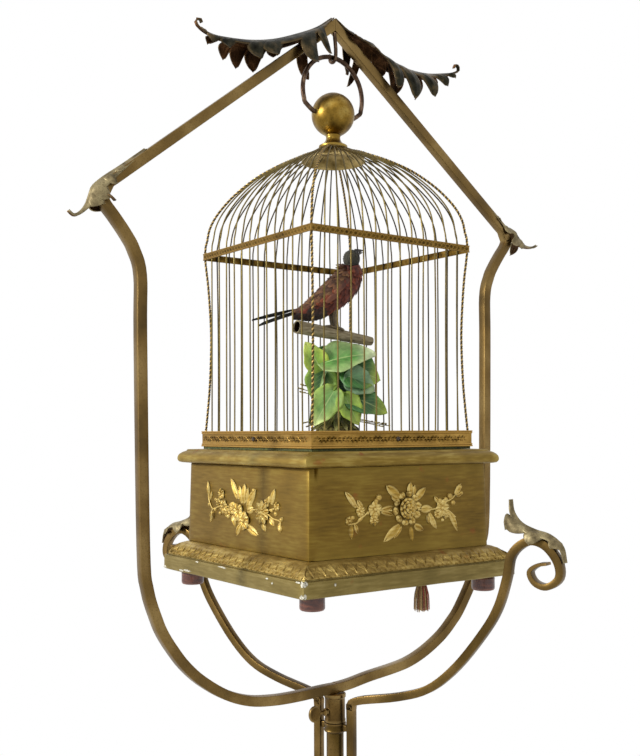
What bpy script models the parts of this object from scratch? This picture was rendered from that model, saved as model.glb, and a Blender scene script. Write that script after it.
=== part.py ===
"""A singing bird automaton: a brass cage on a gilt base, hung in a lyre frame on a floor stand.

Z is up and the floor is z = 0, below the stand's column. The cage's front faces -Y.
Heights in the cage are counted from the top of its brass rail.
"""

import math

import bmesh
import bpy
from mathutils import Matrix, Vector

MM = 0.001

# The gap that two pieces keep where one rests on the other
SEAT = 0.3 * MM
# The gap beside a piece that slides or turns
RUNNING = 0.4 * MM

# Column and long rods of the stand
COLUMN_RADIUS = 9.35 * MM
COLUMN_WALL = 1.8 * MM
COLUMN_FOOT_Z = 60 * MM
FERRULE_TOP_Z = 683 * MM
FERRULE_HEIGHT = 9 * MM
FERRULE_RADIUS = 12.4 * MM
SPIGOT_HEIGHT = 27 * MM
ROD_SIDE = 8.4 * MM
ROD_GAP = 7.9 * MM
SOLDER_HEIGHT = 7 * MM
SOLDER_WIDTH = 5 * MM
ARM_AZIMUTH = math.radians(-71)
ARM_BEND_HEIGHT = 24 * MM
BACK_SCROLL_REACH = 0.965
BACK_SCROLL_RISE = 0.925
SCROLL_TIP_SIDE = 4.5 * MM

# Legs of the stand
LEG_COLLAR_Z = 250 * MM
LEG_COLLAR_HEIGHT = 24 * MM
LEG_REACH = 232 * MM
LEG_CURL = 13 * MM
LEG_FOOT_FLAT = 1 * MM

# Lyre frame, with heights above the middle of its lowest bar
BAR_SIDE = 9.7 * MM
SOCKET_LENGTH = 31.5 * MM
SOCKET_WALL = 1.2 * MM
SOCKET_TOP = 3 * MM
LYRE_HALF_WIDTH = 230.5 * MM
LYRE_BOWL_HEIGHT = 184 * MM
LYRE_UPRIGHT_TOP = {"left": 429 * MM, "right": 443.5 * MM}
BOWL_SHAPE = {
    "left": (
        (0.07, 0.0), (0.22, -0.006), (0.354, -0.002), (0.482, 0.021), (0.605, 0.081), (0.724, 0.18),
        (0.803, 0.274), (0.858, 0.364), (0.902, 0.45), (0.932, 0.533), (0.973, 0.695), (0.99, 0.93),
    ),
    "right": (
        (0.07, 0.008), (0.2, 0.033), (0.352, 0.055), (0.456, 0.079), (0.563, 0.129), (0.672, 0.206),
        (0.747, 0.285), (0.809, 0.37), (0.909, 0.571), (0.958, 0.761), (0.99, 1.0),
    ),
}
SHOULDER_REACH = {"left": 41 * MM, "right": 39 * MM}
SHOULDER_RISE = {"left": 77 * MM, "right": 78.5 * MM}
APEX_HEIGHT = 721 * MM
LEAF_SHEET = 1.4 * MM

# Hook and hanging ring
HOOK_RADIUS = 2.1 * MM
HOOK_DROP = 29.213 * MM
HOOK_BEND = 5.2 * MM
RING_WIRE = 2.5 * MM
RING_RADIUS = 40 * MM
RING_OVER_BALL = 22.5 * MM
PIN_DEPTH = 4 * MM

# Cage, with heights above the top of the rail
RAIL_HALF = 105.5 * MM
RAIL_WALL = 1.5 * MM
RAIL_HEIGHT = 17 * MM
RAIL_LIP = 1.5 * MM
FLOOR_STAND = 2.9 * MM
WIRE_RADIUS = 0.8 * MM
CORNER_WIRE_RADIUS = 1.25 * MM
CORNER_BOW = 4.5 * MM
WIRES_PER_SIDE = 12
BAND_HALF = 103.9 * MM
BAND_SKIN = 0.5 * MM
BAND_Z = 189.6 * MM
BAND_HEIGHT = 7.4 * MM
STRIP_WALL = 1.3 * MM
DOME_RISE = 110 * MM
CROWN_EDGE = 34 * MM
CROWN_HOLE = 12 * MM
CROWN_SHEET = 1 * MM
WIRE_END_HALF = 17 * MM
CROWN_RING_RADIUS = 14 * MM
CROWN_RING_WIRE = 1.2 * MM
FLANGE_RADIUS = 15.5 * MM
FLANGE_HEIGHT = 3 * MM
NECK_RADIUS = 7.5 * MM
BALL_RADIUS = 23.5 * MM
BALL_ABOVE_FLANGE = 36.6 * MM

# Gilt base
LID_HALF = 117.4 * MM
LID_TIP = 8.1 * MM
LID_HEIGHT = 15.1 * MM
CASE_TOP_HALF = 114.4 * MM
CASE_FLARE = 2 * MM
CASE_HEIGHT = 86.5 * MM
CASE_CAVITY_HALF = 104 * MM
PLINTH_HALF = 136.6 * MM
PLINTH_SLOPE = 14 * MM
PLINTH_BAND = 16.8 * MM
PLINTH_CAVITY_HALF = 100 * MM
BOARD_HEIGHT = 10 * MM
BOARD_RECESS = 2.5 * MM
FOOT_RADIUS = 12.3 * MM
FOOT_HEIGHT = 16.7 * MM
FOOT_INSET = 23.6 * MM
NEAR_FOOT_INSET = 32.6 * MM
GARLAND_WIDTH = 155 * MM
GARLAND_HEIGHT = 59 * MM
GARLAND_RELIEF = 4 * MM
ROSE_RADIUS = 15 * MM
ROSE_RELIEF = 8 * MM
GARLAND_DROP = 46.5 * MM
TASSEL_X = 16 * MM
TASSEL_INSET = 12.6 * MM
TASSEL_RADIUS = 9 * MM
TASSEL_LENGTH = 28 * MM
PULL_RADIUS = 1.4 * MM
PULL_DEPTH = 12 * MM

# Perch, stem and leaves, with heights above the rail
PERCH_LEFT = Vector((-49, 0, 110.5)) * MM
PERCH_RIGHT = Vector((52, 0, 100)) * MM
PERCH_LEFT_RADIUS = 7.2 * MM
PERCH_RIGHT_RADIUS = 5 * MM
PERCH_HOLLOW = 14 * MM
STEM_X = 5 * MM
STEM_RADIUS = 4 * MM
PUSH_ROD_RADIUS = 1.3 * MM
MOSS_RADIUS = 24 * MM
MOSS_HEIGHT = 11 * MM
LEAF_THICKNESS = 1 * MM

# Bird, with lengths ahead of the stem and heights above the rail
BIRD_YAW = math.radians(-12.6)
NECK_AHEAD = 17.5 * MM
NECK_Z = 180.5 * MM
NECK_HALF = 9 * MM
HEAD_RADIUS = 9.8 * MM
BEAK_LENGTH = 9.8 * MM
BEAK_BACK = 0.45
BEAK_RISE = 0.85
JAW_BACK = 0.84
RUMP_BACK = 45.5 * MM
RUMP_Z = 125.5 * MM
LEG_APART = 3 * MM
TOES_X = (-6.5 * MM, 1 * MM, 9 * MM)
TOES_RADIUS = (0.8 * MM, 1.35 * MM, 0.8 * MM)
TAIL_LENGTH = 50.5 * MM
TAIL_WIDTH = 13 * MM
TAIL_SHEET = 2.4 * MM

# Clockwork, with heights above the bottom board
GEAR_MODULE = 1 * MM
GREAT_WHEEL_TEETH = 48
CAM_PINION_TEETH = 16
CAM_WHEEL_TEETH = 40
FLY_PINION_TEETH = 10
WHEEL_SHEET = 2.4 * MM
MOVEMENT_PLATE = 2 * MM
MOVEMENT_GAP = 38 * MM
MOVEMENT_MARGIN = 8 * MM
PILLAR_RADIUS = 3 * MM
BARREL_X = -30 * MM
BARREL_RADIUS = 21 * MM
BARREL_HEIGHT = 20 * MM
ARBOR_RADIUS = 2.2 * MM
KEY_RADIUS = 3 * MM
KEY_WING = 9 * MM
KEY_HEIGHT = 13 * MM
CAM_RADIUS = 8.5 * MM
FLY_VANE = 9.5 * MM
BELLOWS_X = 52 * MM
BELLOWS_LENGTH = 44 * MM
BELLOWS_WIDTH = 84 * MM
BELLOWS_HEIGHT = 22 * MM
PUMP_BOARD = 4 * MM
WHISTLE_Y = 78 * MM
WHISTLE_RADIUS = 8 * MM
WHISTLE_BORE = 5 * MM
WHISTLE_LENGTH = 60 * MM
PISTON_LENGTH = 46 * MM

# What follows is worked out from the sizes above
ROD_OFFSET = COLUMN_RADIUS + ROD_GAP + ROD_SIDE / 2
LYRE_BASE_Z = FERRULE_TOP_Z + SEAT + SOCKET_LENGTH + SEAT + BAR_SIDE / 2
GABLE_SLOPE = {
    side: (APEX_HEIGHT - top - SHOULDER_RISE[side]) / (LYRE_HALF_WIDTH + SHOULDER_REACH[side])
    for side, top in LYRE_UPRIGHT_TOP.items()
}
STEEP_SLOPE = max(GABLE_SLOPE.values())
APEX_UNDERSIDE_Z = LYRE_BASE_Z + APEX_HEIGHT - BAR_SIDE / 2 * math.hypot(1, STEEP_SLOPE)
HOOK_TOP_Z = APEX_UNDERSIDE_Z - HOOK_RADIUS * STEEP_SLOPE - SEAT
HOOK_SEAT_Z = HOOK_TOP_Z - HOOK_DROP
RING_TOP_Z = HOOK_SEAT_Z + SEAT + RING_WIRE
BALL_Z = RING_TOP_Z - RING_RADIUS - RING_OVER_BALL
FLANGE_Z = BALL_Z - BALL_ABOVE_FLANGE
BAND_TOP = BAND_Z + BAND_HEIGHT
CROWN_TOP = BAND_TOP + DOME_RISE
RAIL_Z = FLANGE_Z - SEAT - CROWN_TOP
WIRE_HALF = BAND_HALF - BAND_SKIN - SEAT - WIRE_RADIUS
CORNER_HALF = BAND_HALF - BAND_SKIN - SEAT - CORNER_WIRE_RADIUS
FLOOR_HALF = RAIL_HALF - RAIL_WALL - SEAT
FLOOR_TOP = -RAIL_LIP
LID_TOP = -RAIL_HEIGHT - FLOOR_STAND
FLOOR_BOTTOM = LID_TOP + SEAT
CASE_TOP = LID_TOP - LID_HEIGHT - SEAT
CASE_BOTTOM = CASE_TOP - CASE_HEIGHT
PLINTH_TOP = CASE_BOTTOM - SEAT
PLINTH_BOTTOM = PLINTH_TOP - PLINTH_SLOPE - PLINTH_BAND
BOARD_BOTTOM = PLINTH_BOTTOM + BOARD_RECESS
BOARD_TOP = BOARD_BOTTOM + BOARD_HEIGHT
FOOT_AT = PLINTH_HALF - FOOT_INSET
NEAR_FOOT_AT = PLINTH_HALF - NEAR_FOOT_INSET
MOVEMENT_Z = BOARD_TOP + SEAT
MOVEMENT_TOP = MOVEMENT_Z + 2 * MOVEMENT_PLATE + MOVEMENT_GAP
PUSH_BORE_RADIUS = PUSH_ROD_RADIUS + RUNNING
CAMSHAFT_X = BARREL_X + GEAR_MODULE * (GREAT_WHEEL_TEETH + CAM_PINION_TEETH) / 2
FLY_X = CAMSHAFT_X + GEAR_MODULE * (CAM_WHEEL_TEETH + FLY_PINION_TEETH) / 2

# Colour, metallic value and roughness of each finish
FINISHES = {
    "aged_brass": ((0.30, 0.20, 0.075), 1.0, 0.38),
    "cage_brass": ((0.34, 0.26, 0.11), 1.0, 0.42),
    "dark_bronze": ((0.050, 0.050, 0.036), 0.8, 0.45),
    "gilt_wood": ((0.32, 0.20, 0.055), 0.6, 0.50),
    "red_brown_wood": ((0.078, 0.017, 0.009), 0.0, 0.45),
    "bare_wood": ((0.30, 0.20, 0.11), 0.0, 0.60),
    "steel": ((0.45, 0.45, 0.46), 1.0, 0.30),
    "russet_feathers": ((0.15, 0.024, 0.025), 0.0, 0.80),
    "dark_feathers": ((0.030, 0.030, 0.022), 0.0, 0.80),
    "bark": ((0.25, 0.19, 0.11), 0.0, 0.85),
    "green_cloth": ((0.22, 0.38, 0.08), 0.0, 0.75),
    "silk_strands": ((0.32, 0.15, 0.06), 0.0, 0.75),
    "bellows_leather": ((0.42, 0.36, 0.28), 0.0, 0.70),
}


def start_empty():
    for obj in list(bpy.data.objects):
        bpy.data.objects.remove(obj, do_unlink=True)


def finish_of(name):
    """The Blender material of one finish, made when it is first asked for."""
    found = bpy.data.materials.get(name)
    if found:
        return found
    colour, metallic, roughness = FINISHES[name]
    made = bpy.data.materials.new(name)
    made.use_nodes = True
    shader = made.node_tree.nodes["Principled BSDF"]
    shader.inputs["Base Color"].default_value = (*colour, 1)
    shader.inputs["Metallic"].default_value = metallic
    shader.inputs["Roughness"].default_value = roughness
    return made


def pivot(name, place, parent=None):
    """An empty on a joint's axis. What moves with the joint is parented to it."""
    empty = bpy.data.objects.new(name, None)
    bpy.context.scene.collection.objects.link(empty)
    empty.location = Vector(place) - (parent["place"] if parent else Vector())
    if parent:
        empty.parent = parent["empty"]
    return {"empty": empty, "place": Vector(place)}


def add(name, bm, finish, on):
    """A named piece from a bmesh in world coordinates, with its origin on its pivot."""
    bmesh.ops.recalc_face_normals(bm, faces=bm.faces)
    mesh = bpy.data.meshes.new(name)
    bm.to_mesh(mesh)
    bm.free()
    mesh.transform(Matrix.Translation(-on["place"]))
    mesh.shade_smooth()
    mesh.set_sharp_from_angle(angle=math.radians(35))
    mesh.materials.append(finish_of(finish))
    obj = bpy.data.objects.new(name, mesh)
    bpy.context.scene.collection.objects.link(obj)
    obj.parent = on["empty"]
    return obj


def combined(solids, operation="UNION"):
    """One closed bmesh from overlapping ones: their union, or the first less all the others."""
    group = bpy.data.collections.new("tools")
    bpy.context.scene.collection.children.link(group)
    meshes = []
    made = []
    for bm in solids:
        bmesh.ops.recalc_face_normals(bm, faces=bm.faces)
        mesh = bpy.data.meshes.new("solid")
        bm.to_mesh(mesh)
        bm.free()
        obj = bpy.data.objects.new("solid", mesh)
        (bpy.context.scene.collection if not made else group).objects.link(obj)
        meshes.append(mesh)
        made.append(obj)
    cut = made[0].modifiers.new("join", "BOOLEAN")
    cut.operation = operation
    cut.operand_type = "COLLECTION"
    cut.collection = group
    cut.solver = "EXACT"
    bpy.context.view_layer.update()
    joined = made[0].evaluated_get(bpy.context.evaluated_depsgraph_get())
    result = bmesh.new()
    result.from_mesh(joined.to_mesh())
    joined.to_mesh_clear()
    for obj in made:
        bpy.data.objects.remove(obj, do_unlink=True)
    for mesh in meshes:
        bpy.data.meshes.remove(mesh)
    bpy.data.collections.remove(group)
    return result


def skin(bm, rings, closed=False):
    """Joins rings of points by faces, with caps on the ends unless the row of rings is closed."""
    rows = [[bm.verts.new(point) for point in ring] for ring in rings]
    pairs = list(zip(rows, rows[1:]))
    if closed:
        pairs.append((rows[-1], rows[0]))
    else:
        bm.faces.new(rows[0])
        bm.faces.new(reversed(rows[-1]))
    for low, high in pairs:
        for i in range(len(low)):
            j = (i + 1) % len(low)
            bm.faces.new((low[i], high[i], high[j], low[j]))
    return bm


def turned(profile, steps, centre=(0, 0, 0)):
    """A solid turned about a vertical line from (radius, z) pairs that start and end on it."""
    bm = bmesh.new()
    verts = [bm.verts.new((radius, 0, z)) for radius, z in profile]
    edges = [bm.edges.new(pair) for pair in zip(verts, verts[1:])]
    turn = dict(cent=(0, 0, 0), axis=(0, 0, 1), angle=math.tau, steps=steps, use_merge=True)
    bmesh.ops.spin(bm, geom=verts + edges, **turn)
    bmesh.ops.remove_doubles(bm, verts=bm.verts, dist=0.001 * MM)
    bmesh.ops.translate(bm, verts=bm.verts, vec=Vector(centre))
    return bm


def turned_ring(profile, steps, centre=(0, 0, 0)):
    """A ring turned about a vertical line from a closed loop of (radius, z) pairs."""
    return turned([*profile, profile[0]], steps, centre)


def squares(levels):
    """A plate or a block from (half width, z) pairs, one square above another."""
    bm = bmesh.new()
    corners = ((-1, -1), (1, -1), (1, 1), (-1, 1))
    return skin(bm, [[(half * x, half * y, z) for x, y in corners] for half, z in levels])


def square_frame(levels):
    """A mitred square frame from a closed loop of (half width, z) pairs."""
    bm = bmesh.new()
    corners = ((-1, -1), (1, -1), (1, 1), (-1, 1))
    return skin(bm, [[(half * x, half * y, z) for x, y in corners] for half, z in levels], closed=True)


def block(low, high):
    """A box between two opposite corners."""
    bm = bmesh.new()
    bmesh.ops.create_cube(bm, size=1)
    low, high = Vector(low), Vector(high)
    bmesh.ops.scale(bm, verts=bm.verts, vec=high - low)
    bmesh.ops.translate(bm, verts=bm.verts, vec=(low + high) / 2)
    return bm


def plate(outline, low, high):
    """A flat plate with this outline of (x, y) pairs, between two heights."""
    return skin(bmesh.new(), [[(x, y, z) for x, y in outline] for z in (low, high)])


def moved(bm, matrix):
    bmesh.ops.transform(bm, matrix=matrix, verts=bm.verts)
    return bm


def smooth_path(route, pieces):
    """A smooth curve through the route's points, with this many pieces between each two."""
    points = [Vector(point) for point in route]
    ends = [2 * points[0] - points[1], *points, 2 * points[-1] - points[-2]]
    path = []
    for a, b, c, d in zip(ends, ends[1:], ends[2:], ends[3:]):
        for i in range(pieces):
            t = i / pieces
            line = 2 * b + (c - a) * t
            bend = (2 * a - 5 * b + 4 * c - d) * t**2 + (3 * b - a - 3 * c + d) * t**3
            path.append((line + bend) / 2)
    return [*path, points[-1]]


def bar_rings(path, sides, plane):
    """Square sections along a path of (u, v) points, mitred in the plane that the matrix gives."""
    rings = []
    for i, point in enumerate(path):
        before = (point - path[i - 1]).normalized() if i else None
        after = (path[i + 1] - point).normalized() if i + 1 < len(path) else None
        along = ((before or after) + (after or before)).normalized()
        half = sides[i] / 2
        mitre = half / max(0.3, along.dot(after or before))
        across = Vector((-along.y, along.x)) * mitre
        corners = ((1, -half), (1, half), (-1, half), (-1, -half))
        rings.append([plane @ Vector((*(point + across * side), w)) for side, w in corners])
    return rings


def square_bar(path, side, plane, tip_side=None):
    """A square bar along a flat path, drawn down to another size at its far end."""
    sides = [side] * len(path)
    if tip_side:
        sides[-1] = tip_side
        sides[-2] = (side + tip_side) / 2
    return skin(bmesh.new(), bar_rings(path, sides, plane))


def tube_rings(path, radii, sides):
    """Round sections along a path in space, carried round its bends without twisting."""
    rings = []
    across = None
    for i, point in enumerate(path):
        ahead = path[min(i + 1, len(path) - 1)]
        behind = path[max(i - 1, 0)]
        along = (ahead - behind).normalized()
        if across is None:
            across = along.orthogonal().normalized()
        across = (across - along * across.dot(along)).normalized()
        up = along.cross(across)
        turns = [math.tau * k / sides for k in range(sides)]
        rings.append([point + (across * math.cos(t) + up * math.sin(t)) * radii[i] for t in turns])
    return rings


def tube(path, radius, sides):
    """A round rod or wire along a path, of one radius or with a radius for each point."""
    path = [Vector(point) for point in path]
    radii = radius if isinstance(radius, list) else [radius] * len(path)
    return skin(bmesh.new(), tube_rings(path, radii, sides))


def upright_plane(azimuth=0.0, height=0.0):
    """The matrix of an upright plane through the column: u is outward, v is up."""
    out = Vector((math.cos(azimuth), math.sin(azimuth), 0))
    side = Vector((-math.sin(azimuth), math.cos(azimuth), 0))
    matrix = Matrix((out, (0, 0, 1), side)).transposed().to_4x4()
    return Matrix.Translation((0, 0, height)) @ matrix


def acanthus(spine, half_widths, drops, plane, lobes, pieces):
    """A sheet-metal leaf that arches over its spine, with scalloped edges.

    The spine is a route of (u, v) points; each has a half width and a drop of the edges.
    """
    points = [Vector((*point, 0)) for point in spine]
    path = smooth_path(points, pieces)
    across_steps = 6
    bm = bmesh.new()
    rows = []
    for i, point in enumerate(path):
        ahead = path[min(i + 1, len(path) - 1)]
        behind = path[max(i - 1, 0)]
        along = (ahead - behind).normalized()
        down = Vector((along.y, -along.x, 0))
        t = i / pieces
        at = min(int(t), len(half_widths) - 2)
        share = t - at
        half = half_widths[at] + (half_widths[at + 1] - half_widths[at]) * share
        drop = drops[at] + (drops[at + 1] - drops[at]) * share
        scallop = 0.62 + 0.38 * abs(math.sin(math.pi * lobes * i / (len(path) - 1)))
        row = []
        for k in range(across_steps + 1):
            turn = math.radians(-80 + 160 * k / across_steps)
            reach = 1 if k in (2, 3, 4) else scallop
            sideways = half * math.sin(turn) * reach
            fall = drop * (1 - math.cos(turn)) * reach
            row.append(bm.verts.new(plane @ (point + down * fall + Vector((0, 0, sideways)))))
        rows.append(row)
    for low, high in zip(rows, rows[1:]):
        for i in range(across_steps):
            bm.faces.new((low[i], low[i + 1], high[i + 1], high[i]))
    bmesh.ops.recalc_face_normals(bm, faces=bm.faces)
    bmesh.ops.solidify(bm, geom=bm.faces[:], thickness=LEAF_SHEET)
    return bm


def gear(teeth, low, high, turn=0.0):
    """A spur gear about the Z axis with straight-sided teeth, tooth 0 turned by this many teeth."""
    root = GEAR_MODULE * (teeth / 2 - 1.2)
    tip = GEAR_MODULE * (teeth / 2 + 0.85)
    outline = []
    for i in range(teeth):
        for radius, share in ((root, -0.34), (tip, -0.13), (tip, 0.13), (root, 0.34)):
            angle = math.tau * (i + turn + share) / teeth
            outline.append((radius * math.cos(angle), radius * math.sin(angle)))
    return plate(outline, low, high)


def disc(radius, low, high, steps, centre=(0, 0)):
    return turned([(0, low), (radius, low), (radius, high), (0, high)], steps, (*centre, 0))


def rod_route():
    """The middle of a long rod, from its foot curl up the column and out to the scroll's tip."""
    reach = LEG_REACH
    top = FERRULE_TOP_Z + ARM_BEND_HEIGHT
    foot = [
        (reach + 0.9 * LEG_CURL, 2.1 * LEG_CURL),
        (reach + 1.35 * LEG_CURL, 1.1 * LEG_CURL),
        (reach, ROD_SIDE / 2 - LEG_FOOT_FLAT),
        (reach - 3 * LEG_CURL, 1.2 * LEG_CURL),
        (reach - 8 * LEG_CURL, 4.6 * LEG_CURL),
        (ROD_OFFSET + 2 * LEG_CURL, 9.5 * LEG_CURL),
        (ROD_OFFSET + 0.2 * LEG_CURL, 14 * LEG_CURL),
        (ROD_OFFSET, LEG_COLLAR_Z),
        (ROD_OFFSET, LEG_COLLAR_Z + 40 * MM),
        (ROD_OFFSET, top - 40 * MM),
        (ROD_OFFSET, top - 7 * MM),
    ]
    arm = [
        (29, 3), (80, 15), (117, 29), (149, 56), (180, 95), (195, 121), (204, 150),
        (208, 170), (218, 182), (231, 187), (245, 182), (256, 168), (257, 153), (245, 144),
        (233, 147), (228, 157), (236, 164), (246, 166),
    ]
    return foot, [(u * MM, top + v * MM) for u, v in arm]


def stand_column(on):
    """The column tube, with the ferrule that the frame turns on and two solder lugs for the rods."""
    inner = COLUMN_RADIUS - COLUMN_WALL
    low = FERRULE_TOP_Z - FERRULE_HEIGHT
    profile = [
        (inner, COLUMN_FOOT_Z),
        (COLUMN_RADIUS, COLUMN_FOOT_Z),
        (COLUMN_RADIUS, low),
        (FERRULE_RADIUS, low + 1 * MM),
        (FERRULE_RADIUS, FERRULE_TOP_Z),
        (COLUMN_RADIUS, FERRULE_TOP_Z),
        (COLUMN_RADIUS, FERRULE_TOP_Z + SPIGOT_HEIGHT - 1 * MM),
        (COLUMN_RADIUS - 1 * MM, FERRULE_TOP_Z + SPIGOT_HEIGHT),
        (inner, FERRULE_TOP_Z + SPIGOT_HEIGHT),
    ]
    solids = [turned_ring(profile, 16)]
    face = ROD_OFFSET - ROD_SIDE / 2 - SEAT
    for turn in (ARM_AZIMUTH, ARM_AZIMUTH + math.pi):
        low_z = FERRULE_TOP_Z - FERRULE_HEIGHT / 2 - SOLDER_HEIGHT / 2
        lug = block(
            (FERRULE_RADIUS - 2 * MM, -SOLDER_WIDTH / 2, low_z),
            (face, SOLDER_WIDTH / 2, low_z + SOLDER_HEIGHT),
        )
        solids.append(moved(lug, Matrix.Rotation(turn, 4, "Z")))
    return add("stand_column", combined(solids), "aged_brass", on)


def scroll_arms(on):
    """The two long rods: each is a foot, runs up beside the column and ends in a scroll."""
    foot, arm = rod_route()
    for name, turn in (("front", ARM_AZIMUTH), ("back", ARM_AZIMUTH + math.pi)):
        bent = [scroll_point(name, point) for point in arm]
        path = smooth_path(foot, 3) + smooth_path(bent, 3)
        bar = square_bar(path, ROD_SIDE, upright_plane(turn), SCROLL_TIP_SIDE)
        add("scroll_arm_" + name, flat_foot(bar), "aged_brass", on)


def scroll_point(name, point):
    """A point of a scroll. The back one is bent a little closer to the column and lower."""
    u, v = point[0], point[1]
    top = FERRULE_TOP_Z + ARM_BEND_HEIGHT
    if name == "back" and v > top:
        u = ROD_OFFSET + (u - ROD_OFFSET) * BACK_SCROLL_REACH
        v = top + (v - top) * BACK_SCROLL_RISE
    return Vector((u, v))


def flat_foot(bm):
    """Cuts off what lies below the floor, so that a foot has a flat face to stand on."""
    geometry = [*bm.verts, *bm.edges, *bm.faces]
    floor = dict(plane_co=(0, 0, 0), plane_no=(0, 0, -1), dist=0.001 * MM)
    cut = bmesh.ops.bisect_plane(bm, geom=geometry, clear_outer=True, **floor)
    edges = [e for e in cut["geom_cut"] if isinstance(e, bmesh.types.BMEdge)]
    if edges:
        bmesh.ops.holes_fill(bm, edges=bm.edges, sides=0)
    return bm


def leg_spider(on):
    """The collar on the column with the two short legs, which stand across the long rods' feet."""
    low = LEG_COLLAR_Z - LEG_COLLAR_HEIGHT
    inner = COLUMN_RADIUS + SEAT
    outer = ROD_OFFSET - ROD_SIDE / 2 - SEAT
    collar = turned_ring(
        [
            (inner, low),
            (outer - 2 * MM, low),
            (outer, low + 3 * MM),
            (outer, LEG_COLLAR_Z - 3 * MM),
            (outer - 2 * MM, LEG_COLLAR_Z),
            (inner, LEG_COLLAR_Z),
        ],
        16,
    )
    foot, _ = rod_route()
    collar_middle = LEG_COLLAR_Z - LEG_COLLAR_HEIGHT / 2
    route = [*foot[:7], (outer + 0.5 * MM, collar_middle - 14 * MM), (outer - 2.2 * MM, collar_middle + 2 * MM)]
    path = smooth_path(route, 3)
    solids = [collar]
    for turn in (ARM_AZIMUTH + math.pi / 2, ARM_AZIMUTH - math.pi / 2):
        solids.append(flat_foot(square_bar(path, ROD_SIDE, upright_plane(turn))))
    return add("leg_spider", combined(solids), "aged_brass", on)


def scroll_leaves(on):
    """The leaf that springs from the outside of each scroll and curls up at its free tip."""
    top = FERRULE_TOP_Z + ARM_BEND_HEIGHT
    spine = [(209, 226), (211, 214), (219, 203.6), (233, 197.4), (248, 193.3), (260.5, 183.1), (264, 168)]
    spine = [(u * MM, top + v * MM) for u, v in spine]
    half_widths = [size * MM for size in (1.5, 4.5, 9, 10.5, 10, 8.5, 7.5)]
    drops = [size * MM for size in (1, 3, 8, 10, 8, 5, 3.5)]
    for name, turn in (("front", ARM_AZIMUTH), ("back", ARM_AZIMUTH + math.pi)):
        clear = Vector((0.2 * MM, 0.6 * MM)) if name == "back" else Vector((0, 0))
        bent = [scroll_point(name, point) + clear for point in spine]
        leaf = acanthus(bent, half_widths, drops, upright_plane(turn), 4, 2)
        add("scroll_leaf_" + name, leaf, "dark_bronze", on)


def lyre_route(side):
    """The middle of one side's bar, from the socket round to the apex, above its base."""
    half, top = LYRE_HALF_WIDTH, LYRE_UPRIGHT_TOP[side]
    reach, rise = SHOULDER_REACH[side], SHOULDER_RISE[side]
    shoulder = shoulder_corner(side)
    curve = [Vector((half * u, LYRE_BOWL_HEIGHT * v)) for u, v in BOWL_SHAPE[side]]
    curve.append(Vector((half, top - 60 * MM)))
    curve.append(Vector((half, top)))
    for along, up in ((0.17, 0.31), (0.36, 0.48), (0.65, 0.68), (0.86, 0.81)):
        curve.append(Vector((half + along * reach, top + up * rise)))
    curve.append(shoulder - Vector((1.5 * MM, 7 * MM)))
    gable = [shoulder + (Vector((0, APEX_HEIGHT)) - shoulder) * share for share in (0.03, 0.5)]
    return [Vector((SEAT / 2, 0)), *smooth_path(curve, 2), *gable, Vector((SEAT / 2, APEX_HEIGHT))]


def shoulder_corner(side):
    return Vector((LYRE_HALF_WIDTH + SHOULDER_REACH[side], LYRE_UPRIGHT_TOP[side] + SHOULDER_RISE[side]))


def lyre_frame(on):
    """The frame's two bent square bars, which meet on the socket and at the apex."""
    for name, turn in (("right", 0), ("left", math.pi)):
        plane = upright_plane(turn, LYRE_BASE_Z)
        bar = skin(bmesh.new(), lyre_rings(plane, name))
        add("lyre_bar_" + name, bar, "aged_brass", on)


def lyre_rings(plane, side):
    """Square sections along the lyre's bar, with its two ends cut upright on the middle plane."""
    path = lyre_route(side)
    rings = bar_rings(path, [BAR_SIDE] * len(path), plane)
    half = BAR_SIDE / 2
    rise = half * math.hypot(1, GABLE_SLOPE[side])
    for end, height in ((0, half), (-1, rise)):
        point = path[end]
        order = (1, 1, -1, -1) if end == 0 else (-1, -1, 1, 1)
        widths = (-half, half, half, -half)
        if end == 0:
            rings[0] = [plane @ Vector((point.x, point.y + height * s, w)) for s, w in zip(order, widths)]
        else:
            rings[-1] = [plane @ Vector((point.x, point.y + height * s, w)) for s, w in zip(order, widths)]
    return rings


def frame_socket(on):
    """The sleeve under the frame that turns on the column's spigot, with its screw boss."""
    low = FERRULE_TOP_Z + SEAT
    high = low + SOCKET_LENGTH
    bore = COLUMN_RADIUS + RUNNING
    outer = bore + SOCKET_WALL
    sleeve = turned(
        [
            (bore, low),
            (outer, low),
            (outer, high - 3 * MM),
            (outer + 1 * MM, high - 3 * MM),
            (outer + 1 * MM, high),
            (0, high),
            (0, high - SOCKET_TOP + 2 * SEAT),
            (bore, high - SOCKET_TOP + 2 * SEAT),
            (bore, low),
        ],
        16,
    )
    return add("frame_socket", sleeve, "aged_brass", on)


def thumb_screw(on):
    """The screw that locks the socket on the column: a short shank and a flat oval head."""
    z = on["place"].z
    start = COLUMN_RADIUS + RUNNING + SOCKET_WALL + SEAT
    boss = [(0, start), (4.2 * MM, start), (4.2 * MM, start + 3 * MM), (2.3 * MM, start + 4.5 * MM)]
    shank = turned([*boss, (2.3 * MM, start + 10 * MM), (0, start + 10 * MM)], 10)
    head_centre = start + 16 * MM
    outline = []
    for i in range(16):
        turn = math.tau * (i + 0.5) / 16
        outline.append((9 * MM * math.cos(turn), head_centre + 7.5 * MM * math.sin(turn)))
    head = plate(outline, -1.6 * MM, 1.6 * MM)
    head = moved(head, Matrix.Rotation(math.pi / 2, 4, "X") @ Matrix.Identity(4))
    shape = combined([shank, head])
    return add("thumb_screw", moved(shape, lying_left(z)), "aged_brass", on)


def lying_left(z):
    """Turns what stands on the Z axis so that it points along -X at this height."""
    return Matrix.Translation((0, 0, z)) @ Matrix.Rotation(-math.pi / 2, 4, "Y")


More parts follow.
